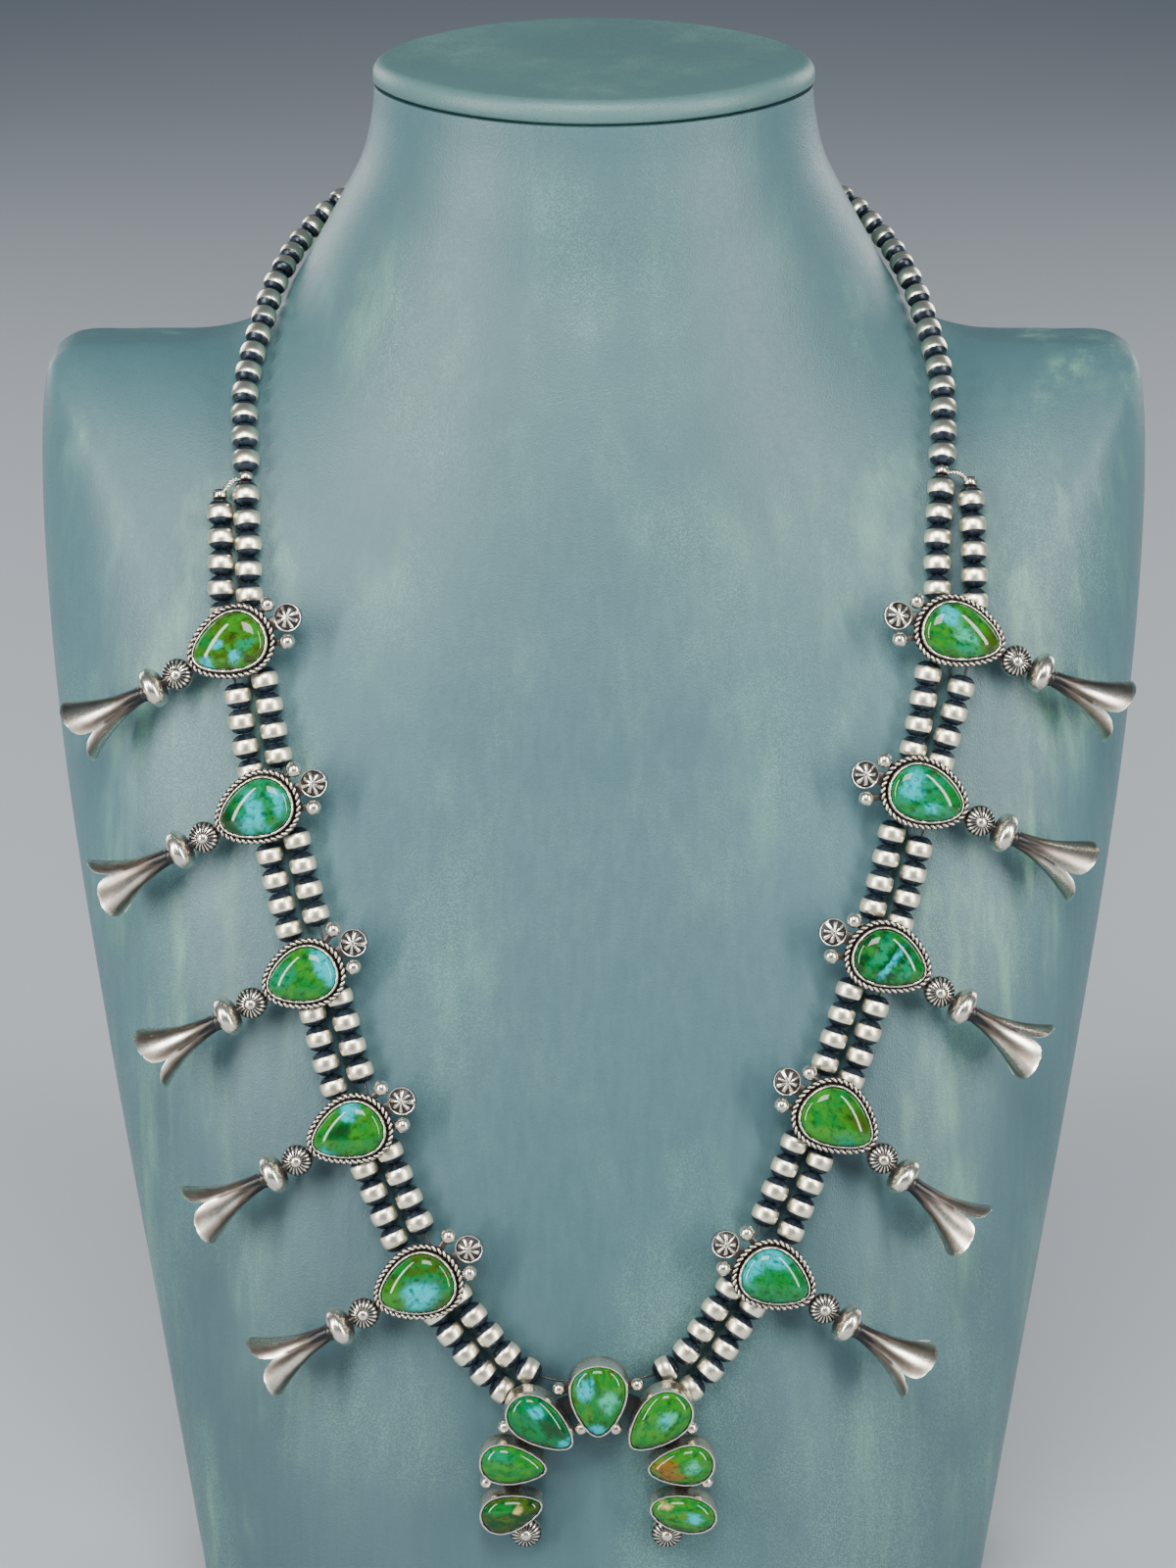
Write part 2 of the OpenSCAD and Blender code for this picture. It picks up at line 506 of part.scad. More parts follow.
//         how far along and half width of a petal, as shares of the same two
PETAL = [[-0.05, 0.30], [0.30, 0.33], [0.52, 0.44], [0.71, 0.54], [0.86, 0.59], [0.94, 0.57],
    [0.98, 0.47], [1.00, 0.26]];
NECK_R = 0.2;
NECK_LEN = 0.17;
module flower(turn) {
    last = len(TRUMPET) - 1;
    outer = [for (p = TRUMPET) [flower_r * p[1], flower_len * p[0]]];
    inner = [for (i = [last:-1:1]) [outer[i][0] - petal_t, outer[i][1]]];
    intersection() {
        rotate_extrude() polygon(concat([[0, 0]], outer, inner, [[0, outer[1][1]]]));
        for (a = [0, 120, 240]) rotate([0, 0, turn + a])
            rotate([90, 0, 90]) linear_extrude(2 * flower_r)
                polygon(concat([for (p = PETAL) [flower_r * p[1], flower_len * p[0]]],
                    [for (i = [len(PETAL) - 1:-1:0]) [-flower_r * PETAL[i][1], flower_len * PETAL[i][0]]]));
    }
    cylinder(r = flower_r * NECK_R, h = flower_len * NECK_LEN);
}

// Flat round bead, solid, its edge rounded
module collar() {
    edge_r = collar_len * 0.54;
    rotate_extrude() intersection() {
        union() {
            translate([collar_d / 2 - edge_r, 0]) circle(r = edge_r);
            translate([0, -collar_len / 2]) square([collar_d * 0.275, collar_len]);
        }
        translate([0, -collar_len / 2]) square([collar_d, collar_len]);
    }
}

// Width of the tongues that join the buttons to a plate, how far off the axis the balls sit, how deep
// one soldered piece sinks into the next, and the room left at the star, balls, rosette and collar
TONGUE = 3;
BALL_OUT = 4.7;
SINK = 0.02;
STAR_OUT = 1.45;
BALL_PAST = 2.1;
ROSETTE_OUT = 0.1;
COLLAR_OUT = 0.35;

// Tube on a plate's back for a thread, with a web up to the middle of the plate, whose frame is given
module thread_tube(u, out, n, frame) {
    p = thread_point(u, out);
    t = thread_way(u, out);
    up = unit(n - t * (t * n));
    z = [frame[0][2], frame[1][2], frame[2][2]];
    middle = [frame[0][3], frame[1][3], frame[2][3]] + z * plate_t / 2;
    rise = (middle - p) * z / (up * z);
    d = bead_hole + 2 * tube_wall;
    multmatrix(along(p, t, n)) difference() {
        union() {
            cylinder(d = d, h = tube_len, center = true);
            translate([0, -d / 4, -tube_len / 2]) cube([rise, d / 2, tube_len]);
        }
        cylinder(d = bead_hole, h = tube_len + 1, center = true);
    }
}

// Flat bar from one point to another
module bar(a, b, width)
    translate(a) rotate([0, 0, atan2(b[1] - a[1], b[0] - a[0])])
        translate([0, -width / 2]) square([norm(b - a), width]);

module blossom(side, i) {
    b = table(side)[i - 1];
    u = blossom_u(b, side);
    frame = blossom_frame(b, side);
    rope_out = bezel_wall + stone_gap + channel + rope_d / 2;
    edge = b[5] / 2 + rope_out;
    star_x = -(edge + star_d / 2 + STAR_OUT);
    ball_x = -(edge + BALL_PAST);
    rosette_x = edge + rope_d / 2 + rosette_d / 2 + ROSETTE_OUT;
    collar_x = rosette_x + rosette_d / 2 + collar_len / 2 + COLLAR_OUT;
    axis_z = plate_t + 0.4;
    silver() {
        multmatrix(frame) {
            linear_extrude(plate_t) {
                polygon(blossom_stone(b, rope_out + 0.2 * rope_d));
                bar([star_x, b[10]], [-b[5] / 3, 0], TONGUE);
                bar([b[5] / 3, 0], [rosette_x, 0], TONGUE);
                for (y = [-BALL_OUT, BALL_OUT]) bar([ball_x, b[10] + y], [-b[5] / 4, y / 2], TONGUE / 2);
            }
            translate([0, 0, plate_t - SINK]) linear_extrude(bezel_h) difference() {
                polygon(blossom_stone(b, stone_gap + bezel_wall));
                polygon(blossom_stone(b, stone_gap));
            }
            rope(blossom_stone(b, rope_out), plate_t + rope_d * 0.2);
            star_button(star_x, b[10]);
            for (y = [b[10] - BALL_OUT, b[10] + BALL_OUT]) ball(ball_x, y, ball_d);
            rosette(rosette_x, 0, rosette_d);
            translate([rosette_x, 0, axis_z]) rotate([0, 90, 0])
                cylinder(d = 2 * plate_t, h = collar_x - rosette_x + collar_len / 2 + 1);
            translate([collar_x, 0, axis_z]) rotate([0, 90, 0]) collar();
            translate([collar_x + collar_len / 2 - 0.1, 0, axis_z]) rotate([0, 90, 0]) flower(b[9]);
        }
        thread_tube(u, 0, up_from(u), frame);
        thread_tube(u, strand_gap, up_from(u), frame);
    }
}

// Domed stone: straight up to the bezel's rim, then rounding over
STONE_SIDES = 20;
module cabochon(long, wide, narrow, lean, wall_h, rise) {
    foot = plate_t + stone_gap;
    rim = plate_t + wall_h * 0.85;
    shape = pear(long, wide, narrow, lean, STONE_SIDES);
    function ring(f, z) = [for (i = [0:STONE_SIDES - 1]) [shape[i][0] * f, shape[i][1] * f, z]];
    skinned([ring(0.3, rim + rise),
        for (a = [58, 30]) ring(pow(cos(a), 0.8), rim + rise * pow(sin(a), 0.9)),
        ring(1, rim), ring(1, foot)]);
}

module blossom_cabochon(side, i) {
    b = table(side)[i - 1];
    color([0.2, 0.62, 0.42])
        multmatrix(blossom_frame(b, side)) cabochon(b[5], b[6], b[7], b[8], bezel_h, dome_h);
}

// Frame of the naja: it hangs upright, its plate's back just clear of the beads
NAJA_MIDDLE = thread_point(0, 0);
NAJA_FRAME = placed([0, NAJA_MIDDLE[1] + THREAD_H - PLATE_H, NAJA_MIDDLE[2]],
    [1, 0, 0], [0, 0, 1], [0, -1, 0]);
function naja_outline(p, d) = [for (q = grown(pear(p[3], p[4], p[5], 0), d))
    [p[0] + q[0] * cos(p[2]) - q[1] * sin(p[2]), p[1] + q[0] * sin(p[2]) + q[1] * cos(p[2])]];

// Pairs of stones with a tie between their plates, and the stone that each ball is tied to
TIES = [[0, 1], [1, 2], [2, 3], [0, 4], [4, 5], [5, 6]];
BALL_STONES = [0, 0, 1, 4, 2, 5, 0, 0];
module naja() {
    tie = 4;
    places = [for (p = NAJA_STONES) [p[0], p[1]]];
    silver() {
        multmatrix(NAJA_FRAME) {
            linear_extrude(plate_t) {
                for (p = NAJA_STONES) polygon(naja_outline(p, stone_gap + bezel_wall));
                for (i = TIES) bar(places[i[0]], places[i[1]], tie);
                for (k = [0, 1]) bar(places[3 + 3 * k], NAJA_ROSETTES[k], tie / 2);
                for (i = [0:len(NAJA_BALLS) - 1]) bar(NAJA_BALLS[i], places[BALL_STONES[i]], tie / 2);
            }
            translate([0, 0, plate_t - SINK]) linear_extrude(naja_bezel_h) difference() {
                for (p = NAJA_STONES) polygon(naja_outline(p, stone_gap + bezel_wall));
                for (p = NAJA_STONES) polygon(naja_outline(p, stone_gap));
            }
            for (p = NAJA_ROSETTES) rosette(p[0], p[1], naja_rosette_d);
            for (p = NAJA_BALLS) ball(p[0], p[1], naja_ball_d);
        }
        thread_tube(0, 0, [0, -1, 0], NAJA_FRAME);
        thread_tube(0, strand_gap, [0, -1, 0], NAJA_FRAME);
    }
}

module naja_cabochon(i) {
    p = NAJA_STONES[i];
    color([0.22, 0.6, 0.36])
        multmatrix(NAJA_FRAME) translate([p[0], p[1], 0]) rotate([0, 0, p[2]])
            cabochon(p[3], p[4], p[5], 0, naja_bezel_h, dome_h);
}

neck_bust();
neck_cap();
main_thread();
outer_thread();
silver() neck_string(-1);  // neck_beads_left
silver() neck_string(1);  // neck_beads_right
silver() inner_string(-1);  // inner_beads_left
silver() inner_string(1);  // inner_beads_right
silver() outer_string(-1);  // outer_beads_left
silver() outer_string(1);  // outer_beads_right
strand_link(-1);  // strand_link_left
strand_link(1);  // strand_link_right
clasp();
blossom(-1, 1);  // blossom_left_1
blossom(-1, 2);  // blossom_left_2
blossom(-1, 3);  // blossom_left_3
blossom(-1, 4);  // blossom_left_4
blossom(-1, 5);  // blossom_left_5
blossom(1, 1);  // blossom_right_1
blossom(1, 2);  // blossom_right_2
blossom(1, 3);  // blossom_right_3
blossom(1, 4);  // blossom_right_4
blossom(1, 5);  // blossom_right_5
blossom_cabochon(-1, 1);  // stone_left_1
blossom_cabochon(-1, 2);  // stone_left_2
blossom_cabochon(-1, 3);  // stone_left_3
blossom_cabochon(-1, 4);  // stone_left_4
blossom_cabochon(-1, 5);  // stone_left_5
blossom_cabochon(1, 1);  // stone_right_1
blossom_cabochon(1, 2);  // stone_right_2
blossom_cabochon(1, 3);  // stone_right_3
blossom_cabochon(1, 4);  // stone_right_4
blossom_cabochon(1, 5);  // stone_right_5
naja();
naja_cabochon(0);  // naja_stone_centre
naja_cabochon(1);  // naja_stone_left_top
naja_cabochon(2);  // naja_stone_left_middle
naja_cabochon(3);  // naja_stone_left_bottom
naja_cabochon(4);  // naja_stone_right_top
naja_cabochon(5);  // naja_stone_right_middle
naja_cabochon(6);  // naja_stone_right_bottom
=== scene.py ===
"""Looks of the squash blossom necklace on its neck bust. Lengths are millimetres until a mesh is made."""
import math

import bpy
import numpy as np
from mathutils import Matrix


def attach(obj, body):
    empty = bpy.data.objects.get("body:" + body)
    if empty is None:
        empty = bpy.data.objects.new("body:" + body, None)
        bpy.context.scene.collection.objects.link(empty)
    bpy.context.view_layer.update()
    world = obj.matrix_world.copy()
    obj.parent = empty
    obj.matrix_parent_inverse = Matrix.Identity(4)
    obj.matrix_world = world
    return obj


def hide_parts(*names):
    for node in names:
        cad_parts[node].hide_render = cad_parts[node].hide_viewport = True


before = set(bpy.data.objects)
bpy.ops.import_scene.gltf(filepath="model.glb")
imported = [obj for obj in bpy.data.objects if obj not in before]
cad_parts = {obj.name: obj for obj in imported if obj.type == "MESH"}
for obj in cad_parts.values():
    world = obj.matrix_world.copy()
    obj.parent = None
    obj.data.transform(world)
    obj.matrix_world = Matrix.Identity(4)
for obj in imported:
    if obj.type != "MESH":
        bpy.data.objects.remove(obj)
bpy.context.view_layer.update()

MM = 0.001
rng = np.random.default_rng(7)

# Sizes, as in the part
BUST_W = 249
BUST_H = 350
BUST_D = 144
CAP_T = 5.5
CAP_EDGE = 3
SEAM_GAP = 0.3
BEAD_D = 6
BEAD_LEN = 5.5
NECK_BEAD_D = 4.8
NECK_BEAD_LEN = 4.4
BEAD_GAP = 0.14
BEAD_HOLE = 1.7
THREAD_D = 0.6
STRAND_GAP = 6.9
REST_GAP = 0.4
BLOSSOM_GAP = 19.3
PLATE_T = 1
PLATE_GAP = 0.25
BEZEL_WALL = 0.5
BEZEL_H = 2.2
DOME_H = 2.6
STONE_GAP = 0.12
CHANNEL = 0.3
ROPE_D = 1.2
BALL_D = 3.5
STAR_D = 6.2
STAR_H = 1.5
ROSETTE_D = 7
ROSETTE_H = 2.2
COLLAR_D = 8.2
COLLAR_LEN = 4.4
FLOWER_LEN = 18
FLOWER_R = 7.8
PETAL_T = 0.7
CORNER = 0.9
BALL_OUT = 4.7
STAR_OUT = 1.45
BALL_PAST = 2.1
TONGUE = 3
ROSETTE_OUT = 0.1
COLLAR_OUT = 0.35
TUBE_LEN = 4.4
TUBE_WALL = 0.6
NAJA_BEZEL_H = 4.6
NAJA_ROSETTE_D = 7
NAJA_BALL_D = 3
CLASP_LEN = 13.4
CLASP_END = 1.6
CLASP_D = 5.4
LINK_WIRE = 0.8
CRIMP = 2
CRIMP_GAP = 0.3
LINK_BOW = 2.5

# How the scene goes beyond the part: fuller beads, and the fineness and twist of small things
BEAD_FULL = 2.5
NECK_FULLER = 1.04
COLLAR_FULLER = 1.12
COLLAR_LONGER = 1.14
BUST_TURN = 180
ROW_STEPS = 150
BEAD_SIDES = 24
BEAD_STEPS = 16
CABLE_SIDES = 8
MAIN_STEPS = 500
OUTER_STEPS = 240
LINK_STEPS = 60
LINK_TWIST = 6.5
WIRE_SIDES = 8
ROPE_PITCH = 2.7
ROPE_STEPS = 12
ROPE_WIRE = 0.27
ROPE_SEAT = 0.42
RELIEF_RINGS = 18
RELIEF_FOOT = 1.0
FLUTES = 19
BOSS = 0.36
BALL_STEPS = 14
BALL_SIDES = 22
COLLAR_STEPS = 28
COLLAR_SIDES = 44
PETAL_ACROSS = 19
PETAL_STEPS = 36
AXIS_RISE = 0.4
PLATE_SIDES = 120
STONE_SIDES = 96

# Rows of the bust from the neck's rim to the base, as in the part: shares of half the width, of the
# depth and of the height, and how flat front and back are
ROWS = np.array([
    [0.396, 0.29, 1.000, 0.03, 0.994, 0.555, 1.006, 1.0, 1.0],
    [0.402, 0.29, 0.980, 0.03, 0.968, 0.555, 0.985, 1.0, 1.0],
    [0.419, 0.29, 0.955, 0.02, 0.934, 0.555, 0.960, 1.0, 1.0],
    [0.454, 0.29, 0.930, 0.01, 0.897, 0.555, 0.932, 1.05, 0.95],
    [0.498, 0.29, 0.901, -0.02, 0.852, 0.555, 0.897, 1.1, 0.85],
    [0.546, 0.285, 0.871, -0.055, 0.803, 0.555, 0.858, 1.15, 0.75],
    [0.606, 0.27, 0.846, -0.09, 0.749, 0.55, 0.814, 1.2, 0.68],
    [0.707, 0.257, 0.835, -0.125, 0.694, 0.54, 0.771, 1.25, 0.6],
    [0.851, 0.236, 0.8345, -0.16, 0.640, 0.535, 0.732, 1.3, 0.5],
    [0.962, 0.222, 0.832, -0.187, 0.589, 0.53, 0.691, 1.3, 0.45],
    [0.998, 0.194, 0.806, -0.222, 0.531, 0.52, 0.635, 1.3, 0.45],
    [0.999, 0.146, 0.709, -0.264, 0.466, 0.514, 0.560, 1.3, 0.45],
    [0.964, 0.07, 0.571, -0.32, 0.375, 0.5, 0.451, 1.3, 0.45],
    [0.892, -0.014, 0.400, -0.375, 0.263, 0.48, 0.314, 1.3, 0.45],
    [0.791, -0.097, 0.188, -0.424, 0.126, 0.458, 0.149, 1.3, 0.45],
    [0.707, -0.14, 0.000, -0.444, 0.000, 0.444, 0.000, 1.3, 0.45]])

# Route of the main strand, as in the part: angle round the bust and place among the rows
NAJA_POINT = [0, 13.33]
BACK_POINT = [-180, 3.3]
LEFT_ROUTE = [
    [-7.7, 13.3], [-13.7, 13.09], [-17.6, 12.86], [-21.4, 12.5], [-25.2, 12.02], [-27.4, 11.6],
    [-30.2, 11.08], [-32.4, 10.54], [-34.4, 10.05], [-36.5, 9.48], [-40.2, 8.8], [-45, 8.14],
    [-52.2, 7.55], [-62.3, 6.98], [-71.5, 6.38], [-79.5, 5.8], [-85, 5.4], [-90, 5.02],
    [-95.5, 4.7], [-101.5, 4.42], [-107, 4.12], [-112.5, 3.82], [-120.5, 3.56], [-134, 3.4],
    [-155, 3.32]]
RIGHT_ROUTE = [
    [8.8, 13.29], [13.8, 13.06], [17.4, 12.82], [21, 12.43], [25, 11.94], [27.4, 11.58],
    [30.2, 11.06], [32.6, 10.5], [34.9, 10.05], [37, 9.5], [40.6, 8.7], [45.4, 8.06],
    [52.2, 7.55], [62.3, 6.98], [71.5, 6.4], [79.5, 5.84], [85, 5.43], [90, 5.04],
    [95.5, 4.72], [101.5, 4.43], [107, 4.13], [112.5, 3.83], [120.5, 3.57], [134, 3.4],
    [155, 3.32]]
# Beads in each run from the naja up, how far the outer strand's beads sit below the inner strand's on
# the left and right, and the beads over which the single strand grows smaller
RUNS = [5, 4, 4, 4, 4, 5]
SHIFTS = [[0, 0], [1.6, 1.6], [2, 2], [2, 2], [2.1, 1.4], [3.4, 1.6]]
GROWING = 16
# Way from the naja's middle to the first bead on the left and right, and past a strand link
NAJA_REACH = [15, 16.4]
LINK_STEP = 8.5

# Blossoms, as in the part: drop, out, turn, tip, length, width, narrowing, lean, petal turn, star
LEFT = [
    [0.5, 5.0, 16.3, 6, 16.6, 12.4, 0.30, 0.5, -30, 1.1],
    [0.85, 6.3, 15.1, 2, 16.4, 12.2, 0.26, 0.3, 28, 0.8],
    [2.6, 5.7, 12.2, 0, 15.2, 11.8, 0.28, 0.6, -26, -1.2],
    [1.9, 6.0, 9.7, 0, 15.9, 12, 0.34, 0.8, 24, -0.1],
    [2.2, 5.8, 1.1, 0, 16.5, 13.2, 0.32, 0.6, 14, -1.6]]
RIGHT = [
    [0.05, 4.8, 17.6, 6, 17.2, 12, 0.32, -0.8, 24, -2.4],
    [-0.6, 4.2, 10.8, 2, 16.7, 11.9, 0.24, -0.3, 22, -1.7],
    [0.4, 5.7, 16.8, 0, 16, 12.3, 0.30, -0.8, -28, -1.6],
    [0.9, 6.0, 19.7, 0, 16.4, 12.9, 0.36, -0.8, -26, -0.8],
    [1.8, 7.0, 7.1, 0, 15.3, 12, 0.34, -0.6, 28, 0.3]]

# Naja, as in the part: stone place, direction of the point, length, width, narrowing
NAJA_STONES = [
    [1, -1.1, -90, 16.2, 12.1, 0.34],
    [-11.8, -6.7, -38, 16.3, 10, 0.34],
    [-18, -16.6, -8, 14.1, 8.9, 0.34],
    [-18.4, -28.1, 17, 13.4, 8.3, 0.34],
    [14.4, -6.2, -135, 16.1, 10.7, 0.34],
    [19.5, -16.8, 188, 14, 9, 0.34],
    [20, -28.4, 168, 14.2, 8.1, 0.10]]
NAJA_BALLS = [
    [-7.8, 0.2], [9.6, 1.2], [-20, -9], [21.8, -9.2], [-24, -22.4], [25.2, -22.3],
    [-2.9, -9.4], [4.9, -9.4]]
NAJA_ROSETTES = [[-15.2, -34.9], [16.4, -35]]
# Stones whose plates are joined, and the stone that each ball is joined to
TIES = [[0, 1], [1, 2], [2, 3], [0, 4], [4, 5], [5, 6]]
BALL_STONES = [0, 0, 1, 4, 2, 5, 0, 0]

HALF_W = BUST_W / 2
THREAD_H = BEAD_D / 2 + REST_GAP
PLATE_H = BEAD_D + REST_GAP + PLATE_GAP
PITCH = BEAD_LEN + BEAD_GAP
SIDES = ((-1, "left"), (1, "right"))


# Layout on the bust, as in the part

def vec(*v):
    return np.array(v, float)


def unit(v):
    return v / np.linalg.norm(v)


def blend(a, b, c, d, t):
    return 0.5 * (2 * b + (c - a) * t + (2 * a - 5 * b + 4 * c - d) * t * t
                  + (3 * b - a - 3 * c + d) * t ** 3)


def row(v):
    last = len(ROWS) - 1
    i = min(max(math.floor(v), 0), last - 1)
    b, c = ROWS[i], ROWS[i + 1]
    a = ROWS[i - 1] if i > 0 else 2 * b - c
    d = ROWS[i + 2] if i + 2 <= last else 2 * c - b
    return blend(a, b, c, d, v - i)


def skin(a, v):
    wide, y_side, z_side, y_front, z_front, y_back, z_back, flat_front, flat_back = row(v)
    s, c = math.sin(math.radians(a)), math.cos(math.radians(a))
    y, z, flat = (y_front, z_front, flat_front) if c > 0 else (y_back, z_back, flat_back)
    return vec(HALF_W * wide * s, BUST_D * (y_side + (y - y_side) * abs(c) ** flat),
               BUST_H * (z_side + (z - z_side) * c * c))


def outward(a, v):
    return unit(np.cross(skin(a, v + 0.02) - skin(a, v - 0.02), skin(a + 0.5, v) - skin(a - 0.5, v)))


FULL_TURN = vec(360, 0)
LOOP = [vec(*p) for p in [RIGHT_ROUTE[0], NAJA_POINT] + LEFT_ROUTE + [BACK_POINT]]
LOOP += [vec(*p) - FULL_TURN for p in RIGHT_ROUTE[::-1] + [NAJA_POINT, LEFT_ROUTE[0]]]
SPANS = len(LOOP) - 3
BACK_U = len(LEFT_ROUTE) + 1
SPREAD = [[0, 1], [9, 1], [12.5, 0.86], [SPANS - 12.7, 0.95], [SPANS - 11.9, 1.2],
          [SPANS - 10.3, 1.25], [SPANS - 9, 1], [SPANS, 1]]


def route(u):
    i = min(max(math.floor(u), 0), SPANS - 1)
    return blend(LOOP[i], LOOP[i + 1], LOOP[i + 2], LOOP[i + 3], u - i)


def on_skin(u):
    return skin(*route(u))


def up_from(u):
    return outward(*route(u))


def onward(u):
    n = up_from(u)
    t = on_skin(u + 0.02) - on_skin(u - 0.02)
    return unit(t - n * (n @ t))


def aside(u):
    return np.cross(up_from(u), onward(u))


def thread_point(u, out):
    spread = np.interp(u, [p[0] for p in SPREAD], [p[1] for p in SPREAD])
    return on_skin(u) + aside(u) * out * spread + up_from(u) * THREAD_H


def thread_way(u, out):
    return unit(thread_point(u + 0.02, out) - thread_point(u - 0.02, out))


STEPS = SPANS * 8
PLACES = [SPANS * i / STEPS for i in range(STEPS + 1)]


def lengths(out):
    points = np.array([thread_point(u, out) for u in PLACES])
    return np.concatenate([[0], np.cumsum(np.linalg.norm(np.diff(points, axis=0), axis=1))])


MAIN_LENGTHS = lengths(0)
OUTER_LENGTHS = lengths(STRAND_GAP)
MAIN_TOTAL = MAIN_LENGTHS[-1]
OUTER_TOTAL = OUTER_LENGTHS[-1]
MAIN_BACK = np.interp(BACK_U, PLACES, MAIN_LENGTHS)


def main_u(s):
    return float(np.interp(s, MAIN_LENGTHS, PLACES))


def outer_u(s):
    return float(np.interp(s, OUTER_LENGTHS, PLACES))


def outer_s(u):
    return float(np.interp(u, PLACES, OUTER_LENGTHS))


def hand(side):
    return (side + 1) // 2


def run_start(j, side):
    return NAJA_REACH[hand(side)] if j == 0 else run_end(j - 1, side) + BLOSSOM_GAP


def run_end(j, side):
    return run_start(j, side) + (RUNS[j] - 1) * PITCH


def main_s(s, side):
    return s if side < 0 else MAIN_TOTAL - s


def from_naja(s, side):
    return main_u(main_s(s, side))


def strand_u(s, out):
    return outer_u(s) if out > 0 else main_u(s)


def end_radius(d, length):
    return math.sqrt(max(d ** 2 - length ** 2, 0)) / 2


def next_bead(bead, d, length, way, out):
    s, last_d, last_length = bead
    straight = (last_length + length) / 2 + BEAD_GAP
    onto = s + way * straight
    u, w = strand_u(s, out), strand_u(onto, out)
    bend = math.acos(min(thread_way(u, out) @ thread_way(w, out), 1))
    short = straight - np.linalg.norm(thread_point(w, out) - thread_point(u, out))
    ends = end_radius(last_d, last_length) + end_radius(d, length)
    return [onto + way * (short + ends * math.sin(bend / 2)), d, length]


def run_of_beads(start, count, way, out):
    beads = [[start, BEAD_D, BEAD_LEN]]
    while len(beads) < count:
        beads.append(next_bead(beads[-1], BEAD_D, BEAD_LEN, way, out))
    return beads


def inner_run(j, side):
    return run_of_beads(main_s(run_start(j, side), side), RUNS[j], -side, 0)


def outer_run(j, side):
    beside = outer_s(from_naja(run_end(j, side), side))
    return run_of_beads(beside + side * SHIFTS[j][hand(side)], RUNS[j], side, STRAND_GAP)


def grade(i, first, last):
    return first + (last - first) * min(i / GROWING, 1)


def neck_beads(side):
    beads = []
    b = [main_s(run_end(len(RUNS) - 1, side) + LINK_STEP, side), BEAD_D, BEAD_LEN]
    while abs(b[0] - MAIN_BACK) > (CLASP_LEN + b[2]) / 2 + BEAD_GAP:
        beads.append(b)
        i = len(beads)
        b = next_bead(b, grade(i, BEAD_D, NECK_BEAD_D), grade(i, BEAD_LEN, NECK_BEAD_LEN), -side, 0)
    return beads


def placed(o, x, y, z):
    m = np.eye(4)
    m[:3, 0], m[:3, 1], m[:3, 2], m[:3, 3] = x, y, z, o
    return m


def along(p, t, n):
    m = unit(n - t * (t @ n))
    return placed(p, m, np.cross(t, m), t)


def at_thread(u, out):
    return along(thread_point(u, out), thread_way(u, out), up_from(u))


def units(v):
    return v / np.linalg.norm(v, axis=1)[:, None]


def loop_ways(points):
    """Direction at each point of a closed line."""
    return units(np.roll(points, -1, 0) - np.roll(points, 1, 0))


def pear(long, wide, narrow, lean, sides=PLATE_SIDES):
    t = np.linspace(0, 2 * np.pi, sides, endpoint=False)
    fill = 1 + narrow * narrow / 2
    return np.stack([long / 2 * np.cos(t),
                     wide / 2 * np.sin(t) * (1 - narrow * np.cos(t)) / fill - lean * np.cos(t)], 1)


def grown(p, d):
    t = loop_ways(p)
    return p + d * np.stack([t[:, 1], -t[:, 0]], 1)


# Meshes

def new_object(name, data):
    made = bpy.data.objects.new(name, data)
    bpy.context.scene.collection.objects.link(made)
    return made


def turned(profile, n):
    """Rings round Z from a profile of (radius, height)."""
    t = np.linspace(0, 2 * np.pi, n, endpoint=False)
    r, z = np.array(profile, float).T[..., None]
    r = np.maximum(r, 1e-4)
    return np.stack([r * np.cos(t), r * np.sin(t), z + 0 * t], 2)


